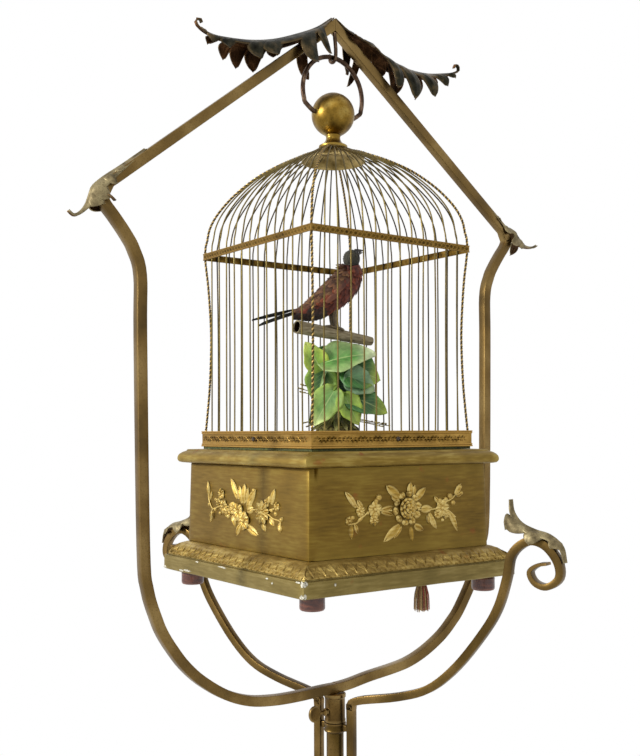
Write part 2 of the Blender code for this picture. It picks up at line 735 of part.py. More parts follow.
def hanging_hook(on):
    """The wire hook under the apex: it drops, turns under the ring's wire and comes up behind it."""
    bottom = HOOK_SEAT_Z - HOOK_RADIUS
    start = -0.6 * HOOK_BEND
    path = [Vector((0, start, HOOK_TOP_Z)), Vector((0, start, HOOK_TOP_Z - 2 * MM))]
    path.append(Vector((0, -HOOK_BEND, bottom + HOOK_BEND + 8 * MM)))
    for i in range(1, 8):
        turn = math.pi * i / 7
        path.append(Vector((0, -HOOK_BEND * math.cos(turn), bottom + HOOK_BEND * (1 - math.sin(turn)))))
    path.append(Vector((0, HOOK_BEND * 1.15, bottom + HOOK_BEND * 1.9)))
    radii = [HOOK_RADIUS] * (len(path) - 1) + [HOOK_RADIUS * 0.6]
    return add("hanging_hook", tube(path, radii, 8), "aged_brass", on)


def crest_leaves(on):
    """The two dark leaves over the gable, from the apex out to a tip that curls up."""
    spines = {
        "left": [(22, -7), (48, -20), (77, -32), (106, -39), (134, -41), (156, -37), (168.5, -31.5)],
        "right": [(24, -3), (46, -7), (72, -18), (103, -24.5), (135, -24.5), (165, -17.5), (187, -8)],
    }
    half_widths = [size * MM for size in (12, 16, 19, 19, 15, 10, 5, 2)]
    drops = [size * MM for size in (1.5, 18, 30, 33, 27, 15, 6, 1.5)]
    for name, turn in (("right", 0), ("left", math.pi)):
        start = BAR_SIDE / 2 * math.hypot(1, GABLE_SLOPE[name]) + LEAF_SHEET + 2 * SEAT
        spine = [(1.5 * MM, APEX_HEIGHT + start)]
        spine += [(u * MM, APEX_HEIGHT + v * MM) for u, v in spines[name]]
        leaf = acanthus(spine, half_widths, drops, upright_plane(turn, LYRE_BASE_Z), 7, 3)
        add("crest_leaf_" + name, leaf, "dark_bronze", on)


def shoulder_leaves(on):
    """The leaf wrapped over each shoulder of the frame, with an upturned tip outside it."""
    lift = BAR_SIDE / 2 + LEAF_SHEET + SEAT
    tongues = {
        "left": [(8, 3), (10.5, -6.5), (14, -16), (19, -23), (25, -26.5), (30, -23)],
        "right": [(9, 9), (18, 1), (28, -6.5), (37, -9.5), (46, -9), (52.5, -6)],
    }
    half_widths = [size * MM for size in (13, 13, 13.5, 14, 11, 6, 3.5, 1.5)]
    drops = [size * MM for size in (8, 13, 17, 18, 12, 5, 2, 1)]
    for name, turn in (("right", 0), ("left", math.pi)):
        slope = GABLE_SLOPE[name]
        gable = Vector((-1, slope)).normalized()
        outward = Vector((slope, 1)).normalized()
        spine = [gable * 26 * MM + outward * (lift + 1.5 * MM), gable * 9.5 * MM + outward * (lift + 3.7 * MM)]
        spine += [Vector((u, v)) * MM for u, v in tongues[name]]
        spine = [shoulder_corner(name) + point for point in spine]
        leaf = acanthus(spine, half_widths, drops, upright_plane(turn, LYRE_BASE_Z), 3, 2)
        add("shoulder_leaf_" + name, leaf, "aged_brass", on)


def hanging_ring(on):
    """The open ring that the cage hangs from. Its ends turn in to the holes in the ball."""
    centre = RING_TOP_Z - RING_RADIUS
    foot = -math.asin((RING_OVER_BALL - 1.4 * RING_WIRE) / RING_RADIUS)
    path = []
    for i in range(21):
        turn = foot + (math.pi - 2 * foot) * i / 20
        path.append(Vector((RING_RADIUS * math.cos(turn), 0, centre + RING_RADIUS * math.sin(turn))))
    end_x = BALL_RADIUS - PIN_DEPTH
    bend_x = BALL_RADIUS + 1.7 * RING_WIRE
    for side, at in ((1, 0), (-1, len(path) + 2)):
        ends = [Vector((side * x, 0, BALL_Z)) for x in (end_x, bend_x)]
        path[at:at] = ends if side == 1 else reversed(ends)
    return add("hanging_ring", tube(path, RING_WIRE, 8), "cage_brass", on)


def finial_ball(on):
    """The ball on its neck and flange, turned in one piece."""
    neck_top = BALL_Z - math.sqrt(BALL_RADIUS**2 - NECK_RADIUS**2)
    profile = [
        (0, FLANGE_Z),
        (FLANGE_RADIUS, FLANGE_Z),
        (FLANGE_RADIUS, FLANGE_Z + FLANGE_HEIGHT),
        (FLANGE_RADIUS - 4 * MM, FLANGE_Z + FLANGE_HEIGHT + 2 * MM),
        (NECK_RADIUS + 0.5 * MM, (FLANGE_Z + FLANGE_HEIGHT + neck_top) / 2),
        (NECK_RADIUS, neck_top),
    ]
    start = math.asin(NECK_RADIUS / BALL_RADIUS)
    for i in range(1, 9):
        turn = start + (math.pi - start) * i / 9
        profile.append((BALL_RADIUS * math.sin(turn), BALL_Z - BALL_RADIUS * math.cos(turn)))
    profile.append((0, BALL_Z + BALL_RADIUS))
    solids = [turned(profile, 20)]
    for side in (-1, 1):
        start = side * (BALL_RADIUS - PIN_DEPTH - 1 * MM)
        end = side * (BALL_RADIUS + 5 * MM)
        solids.append(tube([(start, 0, BALL_Z), (end, 0, BALL_Z)], RING_WIRE + RUNNING, 10))
    return add("finial_ball", combined(solids, "DIFFERENCE"), "cage_brass", on)


def dome_height(half):
    """How far the dome's wires stand above the rail where they are this far from the middle."""
    curve = [
        (10.5, 110), (20, 106.5), (29, 102), (49, 91), (70, 74), (88, 52), (98, 33), (102, 14), (103.6, 0),
    ]
    share = min(half / WIRE_HALF, 1) * 103.6
    for (low, high_z), (high, low_z) in zip(curve, curve[1:]):
        if share <= high:
            mix = max(0, share - low) / (high - low)
            return BAND_TOP + (high_z + (low_z - high_z) * mix) / 110 * DOME_RISE
    return BAND_TOP


DOME_HALVES = [1.0, 0.985, 0.946, 0.85, 0.676, 0.473, 0.28]


def dome_stations(end):
    """The half widths at which a dome wire's points lie, from the band to where it ends."""
    return [WIRE_HALF * share for share in DOME_HALVES] + [end]


def crown_plate(on):
    """The dished plate under the wires where they meet, with a hole in its middle."""
    profile = []
    under = WIRE_RADIUS * 1.35 + SEAT
    radii = (CROWN_EDGE, 0.5 * (CROWN_EDGE + WIRE_END_HALF), WIRE_END_HALF, CROWN_HOLE)
    heights = [RAIL_Z + dome_height(radius) - under for radius in radii]
    heights[3] = RAIL_Z + CROWN_TOP - SEAT * 2 - 2 * CROWN_RING_WIRE
    heights[2] = min(heights[2], heights[3])
    profile = [(radius, height) for radius, height in zip(radii, heights)]
    profile += [(radius, height - CROWN_SHEET) for radius, height in reversed(profile)]
    return add("crown_plate", turned_ring(profile, 20), "cage_brass", on)


def wire_places():
    """Where the plain wires stand along a side, as shares of its half width."""
    gaps = WIRES_PER_SIDE + 1
    return [-1 + 2 * (i + 1) / gaps for i in range(WIRES_PER_SIDE)]


def strip(low, high):
    """The strip inside the band that a side's wires are soldered to, along the front side."""
    end = CORNER_HALF - CORNER_WIRE_RADIUS - SEAT
    inner = WIRE_HALF - STRIP_WALL
    return block((-end, -WIRE_HALF, RAIL_Z + low), (end, -inner, RAIL_Z + high))


SIDES = (("front", 0), ("right", 1), ("back", 2), ("left", 3))


def grilles(on):
    """The four flat wire sides, each with the strip that holds its wires together at the band."""
    middle = BAND_Z + BAND_HEIGHT / 2
    for name, quarter in SIDES:
        solids = [strip(BAND_Z, middle - SEAT / 2)]
        for share in wire_places():
            x = share * WIRE_HALF
            foot = Vector((x, -WIRE_HALF, RAIL_Z + FLOOR_TOP + SEAT))
            top = Vector((x, -WIRE_HALF, RAIL_Z + BAND_Z + 0.3 * BAND_HEIGHT))
            solids.append(tube([foot, top], WIRE_RADIUS, 4))
        side = moved(combined(solids), Matrix.Rotation(quarter * math.pi / 2, 4, "Z"))
        add("grille_" + name, side, "cage_brass", on)


def domes(on):
    """The four curved wire sides above the band, whose wires run together under the finial."""
    middle = BAND_Z + BAND_HEIGHT / 2
    for name, quarter in SIDES:
        solids = [strip(middle + SEAT / 2, BAND_TOP)]
        for share in wire_places():
            path = [Vector((share * WIRE_HALF, -WIRE_HALF, RAIL_Z + BAND_TOP - 0.3 * BAND_HEIGHT))]
            for half in dome_stations(WIRE_END_HALF):
                path.append(Vector((share * half, -half, RAIL_Z + dome_height(half))))
            solids.append(tube(path, WIRE_RADIUS, 4))
        side = moved(combined(solids), Matrix.Rotation(quarter * math.pi / 2, 4, "Z"))
        add("dome_" + name, side, "cage_brass", on)


def corner_wires(on):
    """The four twisted wires up the cage's corners, joined by a small ring under the finial."""
    inside = CORNER_HALF / WIRE_HALF
    end = CROWN_RING_RADIUS / math.sqrt(2)
    ring_z = RAIL_Z + CROWN_TOP - SEAT - CROWN_RING_WIRE
    ring = []
    for i in range(16):
        turn = math.tau * i / 16
        across = Vector((math.cos(turn), math.sin(turn), 0))
        corners = [(math.cos(k * math.pi / 2), math.sin(k * math.pi / 2)) for k in range(4)]
        ring.append(
            [
                across * (CROWN_RING_RADIUS + CROWN_RING_WIRE * u) + Vector((0, 0, ring_z + CROWN_RING_WIRE * v))
                for u, v in corners
            ]
        )
    solids = [skin(bmesh.new(), ring, closed=True)]
    for quarter in range(4):
        path = []
        for share, bow in ((0, 0), (0.25, 0.7), (0.55, 1), (0.85, 0.5), (1, 0)):
            half = CORNER_HALF - CORNER_BOW * bow
            low = FLOOR_TOP + SEAT
            path.append(Vector((half, half, RAIL_Z + low + (BAND_Z - low) * share)))
        for half in dome_stations(WIRE_END_HALF):
            path.append(Vector((half * inside, half * inside, RAIL_Z + dome_height(half))))
        path.append(Vector((end, end, ring_z)))
        wire = tube(path, CORNER_WIRE_RADIUS, 4)
        solids.append(moved(wire, Matrix.Rotation(quarter * math.pi / 2, 4, "Z")))
    return add("corner_wires", combined(solids), "cage_brass", on)


def cage_frames(on):
    """The embossed band round the wires, the rail round their feet and the floor inside it."""
    low, high = RAIL_Z + BAND_Z, RAIL_Z + BAND_TOP
    inner = BAND_HALF - BAND_SKIN
    band = square_frame([(BAND_HALF, low), (BAND_HALF, high), (inner, high), (inner, low)])
    add("mid_band", band, "cage_brass", on)
    low, high = RAIL_Z - RAIL_HEIGHT, RAIL_Z
    inner = RAIL_HALF - RAIL_WALL
    rail = square_frame([(RAIL_HALF, low), (RAIL_HALF, high), (inner, high), (inner, low)])
    add("rail", rail, "cage_brass", on)
    floor = squares([(FLOOR_HALF, RAIL_Z + FLOOR_BOTTOM), (FLOOR_HALF, RAIL_Z + FLOOR_TOP)])
    add("cage_floor", combined([floor, push_bore()], "DIFFERENCE"), "bare_wood", on)


def push_bore():
    """The straight hole up through the lid and the floor for the bird's push rod."""
    bore = disc(PUSH_BORE_RADIUS, RAIL_Z + CASE_TOP - 5 * MM, RAIL_Z + 5 * MM, 8)
    return moved(bore, Matrix.Translation((STEM_X, 0, 0)))


def lid_moulding(on):
    """The moulded lid that the cage stands on."""
    top, low = RAIL_Z + LID_TOP, RAIL_Z + LID_TOP - LID_HEIGHT
    levels = [
        (LID_HALF + 0.45 * LID_TIP, low),
        (LID_HALF + 0.9 * LID_TIP, low + 0.1 * LID_HEIGHT),
        (LID_HALF + LID_TIP, low + 0.27 * LID_HEIGHT),
        (LID_HALF + 0.87 * LID_TIP, low + 0.56 * LID_HEIGHT),
        (LID_HALF + 0.4 * LID_TIP, low + 0.82 * LID_HEIGHT),
        (LID_HALF, top),
    ]
    add("lid_moulding", combined([squares(levels), push_bore()], "DIFFERENCE"), "gilt_wood", on)


def case_walls(on):
    """The four walls of the case, which widen a little towards the plinth."""
    top, low = RAIL_Z + CASE_TOP, RAIL_Z + CASE_BOTTOM
    loop = [(CASE_TOP_HALF + CASE_FLARE, low), (CASE_TOP_HALF, top), (CASE_CAVITY_HALF, top), (CASE_CAVITY_HALF, low)]
    add("case_walls", square_frame(loop), "gilt_wood", on)


def plinth(on):
    """The plinth under the case: a sloping carved moulding on a flat band, open in the middle."""
    top, low = RAIL_Z + PLINTH_TOP, RAIL_Z + PLINTH_BOTTOM
    step = low + PLINTH_BAND
    start = CASE_TOP_HALF + CASE_FLARE + 1.5 * MM
    run = PLINTH_HALF - start
    loop = [
        (PLINTH_HALF, low),
        (PLINTH_HALF, step - 2 * MM),
        (PLINTH_HALF - 1.6 * MM, step),
        (start + 0.8 * run, step + 0.25 * PLINTH_SLOPE),
        (start + 0.45 * run, step + 0.68 * PLINTH_SLOPE),
        (start, top),
        (PLINTH_CAVITY_HALF, top),
        (PLINTH_CAVITY_HALF, low),
    ]
    place = tassel_place()
    hole = disc(PULL_RADIUS + RUNNING, low - 5 * MM, low + PULL_DEPTH + 2 * MM, 10, (place.x, place.y))
    body = combined([square_frame(loop), hole], "DIFFERENCE")
    add("plinth", body, "gilt_wood", on)


def key_place():
    return Vector((BARREL_X, 0))


def bottom_board(on):
    """The board that closes the case and carries the movement, with a hole for the key."""
    low, high = RAIL_Z + BOARD_BOTTOM, RAIL_Z + BOARD_TOP
    half = PLINTH_CAVITY_HALF - SEAT
    hole = disc(KEY_RADIUS + 2 * RUNNING, low - 5 * MM, high + 5 * MM, 12, key_place())
    board = combined([squares([(half, low), (half, high)]), hole], "DIFFERENCE")
    add("bottom_board", board, "bare_wood", on)


def feet(on):
    """The four turned feet under the plinth."""
    top = RAIL_Z + PLINTH_BOTTOM - SEAT
    low = top - FOOT_HEIGHT
    profile = [
        (0, low),
        (FOOT_RADIUS - 2 * MM, low),
        (FOOT_RADIUS, low + 2.5 * MM),
        (FOOT_RADIUS, top - 3 * MM),
        (FOOT_RADIUS - 1.3 * MM, top),
        (0, top),
    ]
    places = {"front_left": (-1, -1), "front_right": (1, -1), "back_left": (-1, 1), "back_right": (1, 1)}
    for name, (x, y) in places.items():
        at = NEAR_FOOT_AT if name == "front_left" else FOOT_AT
        foot = turned(profile, 12, (x * at, y * at, 0))
        add("foot_" + name, foot, "red_brown_wood", on)


def garland_outline():
    """Half of the garland's outline, as the lobes of its leaves and sprays from right to left."""
    half, tall = GARLAND_WIDTH / 2, GARLAND_HEIGHT / 2
    upper = [
        (1.0, 0.1), (0.93, 0.62), (0.74, 0.46), (0.6, 0.5), (0.47, 0.2), (0.36, 0.42), (0.3, 0.95),
        (0.16, 0.7), (0.06, 0.98), (0.0, 0.72),
    ]
    lower = [
        (0.0, -0.78), (0.1, -0.96), (0.22, -0.62), (0.32, -0.9), (0.38, -0.4), (0.5, -0.16), (0.62, -0.4),
        (0.8, -0.28), (0.94, -0.55),
    ]
    right = [(half * u, tall * v) for u, v in [*lower, *upper]]
    left = [(-x, y) for x, y in reversed(right) if x > 0]
    return right + left


def garlands(on):
    """The applied flower garland on each face of the case: a lobed relief with a rose on it."""
    slope = math.atan2(CASE_FLARE, CASE_HEIGHT)
    for name, quarter in SIDES:
        relief = plate(garland_outline(), 0, GARLAND_RELIEF)
        rose = [
            (0, 0.5 * MM),
            (ROSE_RADIUS, 0.5 * MM),
            (ROSE_RADIUS, 0.6 * ROSE_RELIEF),
            (0.7 * ROSE_RADIUS, 0.92 * ROSE_RELIEF),
            (0, ROSE_RELIEF),
        ]
        shape = combined([relief, turned(rose, 14, (0, -0.12 * GARLAND_HEIGHT, 0))])
        face = CASE_TOP_HALF + GARLAND_DROP * math.tan(slope) + SEAT
        place = Matrix.Translation((0, -face, RAIL_Z + CASE_TOP - GARLAND_DROP))
        lean = Matrix.Rotation(math.pi / 2 - slope, 4, "X")
        turn = Matrix.Rotation(quarter * math.pi / 2, 4, "Z")
        add("garland_" + name, moved(shape, turn @ place @ lean), "gilt_wood", on)


def tassel_place():
    return Vector((TASSEL_X, -PLINTH_HALF + TASSEL_INSET))


def start_tassel(on):
    """The start pull: its cord goes up into the plinth, and a tassel hangs under it."""
    top = RAIL_Z + PLINTH_BOTTOM
    skirt = top - SEAT - TASSEL_LENGTH
    profile = [
        (0, skirt),
        (TASSEL_RADIUS, skirt),
        (0.95 * TASSEL_RADIUS, skirt + 0.5 * TASSEL_LENGTH),
        (0.6 * TASSEL_RADIUS, skirt + 0.76 * TASSEL_LENGTH),
        (0.42 * TASSEL_RADIUS, skirt + 0.84 * TASSEL_LENGTH),
        (0.5 * TASSEL_RADIUS, skirt + 0.93 * TASSEL_LENGTH),
        (PULL_RADIUS, top - SEAT),
        (PULL_RADIUS, top + PULL_DEPTH),
        (0, top + PULL_DEPTH),
    ]
    place = tassel_place()
    add("start_tassel", turned(profile, 10, (place.x, place.y, 0)), "silk_strands", on)


def perch_branch(on):
    """The cut branch that the bird stands on, hollow at its thick end."""
    left, right = PERCH_LEFT + Vector((0, 0, RAIL_Z)), PERCH_RIGHT + Vector((0, 0, RAIL_Z))
    path = [left + (right - left) * share for share in (0, 0.3, 0.55, 0.8, 1)]
    radii = [PERCH_LEFT_RADIUS + (PERCH_RIGHT_RADIUS - PERCH_LEFT_RADIUS) * s for s in (0, 0.35, 0.5, 0.8, 1)]
    branch = tube(path, radii, 10)
    along = (right - left).normalized()
    hollow = tube([left - along * PERCH_HOLLOW, left + along * PERCH_HOLLOW], 0.62 * PERCH_LEFT_RADIUS, 10)
    add("perch_branch", combined([branch, hollow], "DIFFERENCE"), "bark", on)


def perch_height(x):
    """The height of the perch's middle line here."""
    share = (x - PERCH_LEFT.x) / (PERCH_RIGHT.x - PERCH_LEFT.x)
    return PERCH_LEFT.z + (PERCH_RIGHT.z - PERCH_LEFT.z) * share


def perch_underside():
    """The height of the perch's lowest line above the stem."""
    return perch_height(STEM_X) - (PERCH_LEFT_RADIUS + PERCH_RIGHT_RADIUS) / 2 * 1.03


# Each leaf's bearing from the stem in degrees, its middle's reach and height, and its length
LEAVES = (
    (168, 25, 80, 36), (-117, 22, 82, 42), (-51, 28, 68, 38), (-36, 27, 49, 34), (-178, 25, 48, 36),
    (-150, 27, 24, 34), (-98, 26, 20, 30), (-44, 34, 27, 34), (100, 24, 74, 38), (62, 26, 50, 36),
    (24, 28, 26, 34), (132, 26, 24, 34),
)


def leaf_plane(bearing, reach, height):
    """Where a leaf lies: its face looks outwards and up, and its tip points out and down."""
    lean = Matrix.Rotation(math.radians(58), 4, "Y")
    place = Matrix.Translation((reach, 0, height))
    turn = Matrix.Rotation(math.radians(bearing), 4, "Z")
    return Matrix.Translation((STEM_X, 0, RAIL_Z)) @ turn @ place @ lean


def heart_outline(length):
    half = [(-0.38, 0), (-0.5, 0.16), (-0.44, 0.34), (-0.22, 0.43), (0.05, 0.38), (0.3, 0.2), (0.5, 0)]
    other = [(x, -y) for x, y in reversed(half) if y > 0]
    return [(x * length, y * length) for x, y in [*half, *other]]


def foliage(on):
    """The stem under the perch with its moss and its heart-shaped leaves on short stalks."""
    floor = RAIL_Z + FLOOR_TOP + SEAT
    top = RAIL_Z + perch_underside() - SEAT
    stem = tube([(STEM_X, 0, floor), (STEM_X, 0, top)], STEM_RADIUS, 8)
    moss_profile = [(0, 0), (1, 0), (0.93, 0.4), (0.6, 0.85), (0, 1)]
    moss = turned([(MOSS_RADIUS * r, floor + MOSS_HEIGHT * z) for r, z in moss_profile], 10, (STEM_X, 0, 0))
    solids = [stem, moss]
    for bearing, reach, height, length in LEAVES:
        plane = leaf_plane(bearing, reach * MM, height * MM)
        blade = moved(plate(heart_outline(length * MM), 0, LEAF_THICKNESS), plane)
        base = plane @ Vector((-0.3 * length * MM, 0, 0))
        root = Vector((STEM_X, 0, base.z - 2 * MM))
        solids += [blade, tube([root, base], 1.1 * MM, 4)]
    bore = disc(PUSH_BORE_RADIUS, floor - 5 * MM, top + 5 * MM, 8, (STEM_X, 0))
    add("foliage", combined([combined(solids), bore], "DIFFERENCE"), "green_cloth", on)


def push_rod(on):
    """The rod up the hollow stem that works the bird's beak and tail."""
    low = RAIL_Z + MOVEMENT_TOP + SEAT
    top = RAIL_Z + perch_underside() - 4 * MM
    add("push_rod", disc(PUSH_ROD_RADIUS, low, top, 8, (STEM_X, 0)), "steel", on)


def bird_frame():
    """The bird's own axes: u is ahead, w is to its left, over the stem and above the rail."""
    return Matrix.Translation((STEM_X, 0, RAIL_Z)) @ Matrix.Rotation(BIRD_YAW, 4, "Z")


def oval_rings(stations, sides, frame):
    """Oval sections from (ahead, height, lean in degrees, half depth, half width) in millimetres."""
    rings = []
    for ahead, height, lean, depth, width in stations:
        across = Vector((math.cos(math.radians(lean)), 0, math.sin(math.radians(lean)))) * depth * MM
        middle = Vector((ahead, 0, height)) * MM
        ring = []
        for k in range(sides):
            turn = math.tau * (k + 0.5) / sides
            ring.append(frame @ (middle + across * math.cos(turn) + Vector((0, width * MM * math.sin(turn), 0))))
        rings.append(ring)
    return rings


def perch_stance(x, y, radius):
    """Where the middle of a toe of this radius lies, so that it rests on the perch here."""
    perch = (PERCH_LEFT_RADIUS + PERCH_RIGHT_RADIUS) / 2 + radius + SEAT
    return Vector((x, y, RAIL_Z + perch_height(x) + math.sqrt(perch**2 - y**2)))


def bird_body(on):
    """The bird's body with its folded wings, and its two legs on the perch."""
    frame = bird_frame()
    neck, rump = NECK_AHEAD / MM, RUMP_BACK / MM
    top, low = NECK_Z / MM, RUMP_Z / MM
    stations = [
        (-rump, low, -75, 7.5, 6.5),
        (-rump + 9.5, low + 2.5, -66, 10.5, 10.5),
        (-rump + 19.5, low + 7, -59, 13.5, 13.5),
        (-rump + 31, low + 14.5, -52, 15.5, 16),
        (-rump + 42.5, low + 24, -47, 17, 17),
        (neck - 9.5, top - 21, -42, 17, 16.5),
        (neck - 2, top - 11, -27, 14.2, 13.5),
        (neck + 0.7, top - 4, -8, 11.2, 10.5),
        (neck, top, 0, NECK_HALF / MM, NECK_HALF / MM),
    ]
    solids = [skin(bmesh.new(), oval_rings(stations, 12, frame))]
    for side in (-1, 1):
        hip = frame @ Vector((-5 * MM, side * 6 * MM, 142 * MM))
        foot = [perch_stance(STEM_X + x, side * LEG_APART, r) for x, r in zip(TOES_X, TOES_RADIUS)]
        solids.append(tube([hip, hip.lerp(foot[1], 0.45), foot[1]], [4 * MM, 1.6 * MM, 1.3 * MM], 6))
        solids.append(tube(foot, list(TOES_RADIUS), 6))
        wing = [
            (neck - 13, side * 13, top - 18, 4),
            (-6, side * 15.5, top - 31, 8),
            (-24, side * 12, low + 10, 6),
            (-39, side * 7.5, low + 4, 2),
        ]
        points = [frame @ (Vector((u, w, z)) * MM) for u, w, z, _ in wing]
        solids.append(tube(points, [radius * 0.6 * MM for *_, radius in wing], 8))
    add("bird_body", combined(solids), "russet_feathers", on)


def bird_head(on):
    """The head with the upper half of the beak, which turns on the neck."""
    base = NECK_Z + SEAT
    middle = base + 0.83 * HEAD_RADIUS
    profile = [(0, base), (NECK_HALF, base)]
    for i in range(1, 7):
        turn = math.radians(-38 + 128 * i / 6)
        profile.append((HEAD_RADIUS * math.cos(turn), middle + HEAD_RADIUS * 1.06 * math.sin(turn)))
    profile[-1] = (0, profile[-1][1])
    skull = turned(profile, 12, (NECK_AHEAD, 0, 0))
    root = Vector((NECK_AHEAD + BEAK_BACK * HEAD_RADIUS, 0, middle + BEAK_RISE * HEAD_RADIUS))
    tip = root + Vector((BEAK_LENGTH, 0, 1.8 * MM))
    beak = tube([root, root.lerp(tip, 0.35), tip], [3.2 * MM, 2.7 * MM, 0.5 * MM], 8)
    flat = block(root + Vector((-BEAK_LENGTH, -9 * MM, -9 * MM)), root + Vector((2 * BEAK_LENGTH, 9 * MM, 0)))
    upper = combined([beak, flat], "DIFFERENCE")
    shape = moved(combined([skull, upper]), bird_frame())
    add("bird_head", shape, "dark_feathers", on)


def beak_pivot_place():
    middle = NECK_Z + SEAT + 0.83 * HEAD_RADIUS
    ahead = NECK_AHEAD + JAW_BACK * HEAD_RADIUS + 0.1 * MM
    return bird_frame() @ Vector((ahead, 0, middle + BEAK_RISE * HEAD_RADIUS - 1 * MM))


def bird_beak(on):
    """The lower half of the beak, which drops open."""
    middle = NECK_Z + SEAT + 0.83 * HEAD_RADIUS
    top = middle + BEAK_RISE * HEAD_RADIUS - SEAT
    back = NECK_AHEAD + JAW_BACK * HEAD_RADIUS + 0.3 * MM
    tip = NECK_AHEAD + BEAK_BACK * HEAD_RADIUS + BEAK_LENGTH - 0.6 * MM
    outline = [(back, top), (back + 0.9 * MM, top - 1.7 * MM), (tip, top - 0.5 * MM), (tip, top)]
    rings = []
    for width, share in ((-1, 0), (1, 1)):
        rings.append([Vector((x, width * (2.1 * MM if x < tip else 0.5 * MM), z)) for x, z in outline])
    add("bird_beak", moved(skin(bmesh.new(), rings), bird_frame()), "dark_feathers", on)


def tail_pivot_place():
    return bird_frame() @ Vector((-RUMP_BACK - 1.3 * MM, 0, RUMP_Z + 3 * MM))


def bird_tail(on):
    """The long forked tail, hinged behind the rump."""
    start = -RUMP_BACK - 1.3 * MM
    end = start - TAIL_LENGTH
    half = TAIL_WIDTH / 2
    outline = [
        (start, -0.45 * half), (start, 0.45 * half), (start - 0.55 * TAIL_LENGTH, 0.8 * half), (end, half),
        (end + 1 * MM, 0.5 * half), (end + 0.16 * TAIL_LENGTH, 0),
        (end + 1 * MM, -0.5 * half), (end, -half), (start - 0.55 * TAIL_LENGTH, -0.8 * half),
    ]
    sheet = plate(outline, -TAIL_SHEET / 2, TAIL_SHEET / 2)
    lean = Matrix.Rotation(math.radians(-19), 4, "Y") @ Matrix.Rotation(math.radians(20), 4, "X")
    pivot_point = Matrix.Translation((start, 0, RUMP_Z + 3 * MM))
    shape = moved(sheet, bird_frame() @ pivot_point @ lean @ Matrix.Translation((-start, 0, 0)))
    add("bird_tail", shape, "dark_feathers", on)


def movement_outline(on_z):
    """The movement plates' two corners, around the barrel, the camshaft and the fly."""
    great = GEAR_MODULE * (GREAT_WHEEL_TEETH / 2 + 1)
    low = BARREL_X - great - MOVEMENT_MARGIN
    high = FLY_X + FLY_VANE + MOVEMENT_MARGIN / 2
    half = great + MOVEMENT_MARGIN
    return Vector((low, -half, on_z)), Vector((high, half, on_z))


def movement_frame(on):
    """The clockwork's two plates and the four pillars between them."""
    low_z = RAIL_Z + MOVEMENT_Z
    high_z = low_z + MOVEMENT_PLATE + MOVEMENT_GAP
    solids = []
    for z in (low_z, high_z):
        low, high = movement_outline(z)
        solids.append(block(low, high + Vector((0, 0, MOVEMENT_PLATE))))
    inset = 1.5 * PILLAR_RADIUS
    for x in (low.x + inset, high.x - inset):
        for y in (low.y + inset, high.y - inset):
            solids.append(disc(PILLAR_RADIUS, low_z + 1 * MM, high_z + 1 * MM, 8, (x, y)))
    frame = combined(solids)
    hole = disc(KEY_RADIUS + RUNNING, low_z - 5 * MM, low_z + 5 * MM, 12, key_place())
    add("movement_frame", combined([frame, hole], "DIFFERENCE"), "cage_brass", on)


def movement_floor():
    return RAIL_Z + MOVEMENT_Z + MOVEMENT_PLATE + SEAT


def movement_ceiling():
    return RAIL_Z + MOVEMENT_Z + MOVEMENT_PLATE + MOVEMENT_GAP - SEAT


def spring_barrel(on):
    """The mainspring's barrel with the great wheel under it, on its upright arbor."""
    low, high = movement_floor(), movement_ceiling()
    wheel = low + 2 * MM
    drum = wheel + 0.5 * WHEEL_SHEET
    solids = [
        disc(ARBOR_RADIUS, low + 1 * MM, high, 8),
        gear(GREAT_WHEEL_TEETH, wheel, wheel + WHEEL_SHEET),
        disc(BARREL_RADIUS, drum, drum + BARREL_HEIGHT, 20),
    ]
    shape = moved(combined(solids), Matrix.Translation((BARREL_X, 0, 0)))
    add("spring_barrel", shape, "cage_brass", on)


def winding_key(on):
    """The key under the bottom board: a shank up to the arbor and a two-winged bow."""
    top = movement_floor() + 1 * MM - SEAT
    low = RAIL_Z + BOARD_BOTTOM - KEY_HEIGHT
    shank = disc(KEY_RADIUS, low + 0.5 * KEY_HEIGHT, top, 10)
    outline = []
    for i in range(16):
        turn = math.tau * (i + 0.5) / 16
        wing = KEY_WING * (0.45 + 0.55 * abs(math.cos(turn)))
        outline.append((wing * math.cos(turn), low + 0.4 * KEY_HEIGHT + 0.4 * KEY_HEIGHT * math.sin(turn)))
    bow = moved(plate(outline, -1.2 * MM, 1.2 * MM), Matrix.Rotation(math.pi / 2, 4, "X"))
    shape = moved(combined([shank, bow]), Matrix.Translation((*key_place(), 0)))
    add("winding_key", shape, "steel", on)


def camshaft(on):
    """The cams that play the song and move the bird, between their pinion and their wheel."""
    low, high = movement_floor(), movement_ceiling()
    wheel = low + 2 * MM
    solids = [
        disc(ARBOR_RADIUS, low, high, 8),
        gear(CAM_PINION_TEETH, wheel - 1 * MM, wheel + WHEEL_SHEET + 1 * MM, 0.5),
        gear(CAM_WHEEL_TEETH, high - 5 * MM, high - 5 * MM + WHEEL_SHEET),
    ]
    for i in range(3):
        z = wheel + (7 + 6 * i) * MM
        outline = []
        for k in range(18):
            turn = math.tau * k / 18
            radius = CAM_RADIUS * (0.86 + 0.14 * math.sin((i + 2) * turn + i))
            outline.append((radius * math.cos(turn), radius * math.sin(turn)))
        solids.append(plate(outline, z, z + 2.5 * MM))
    shape = moved(combined(solids), Matrix.Translation((CAMSHAFT_X, 0, 0)))
    add("camshaft", shape, "steel", on)


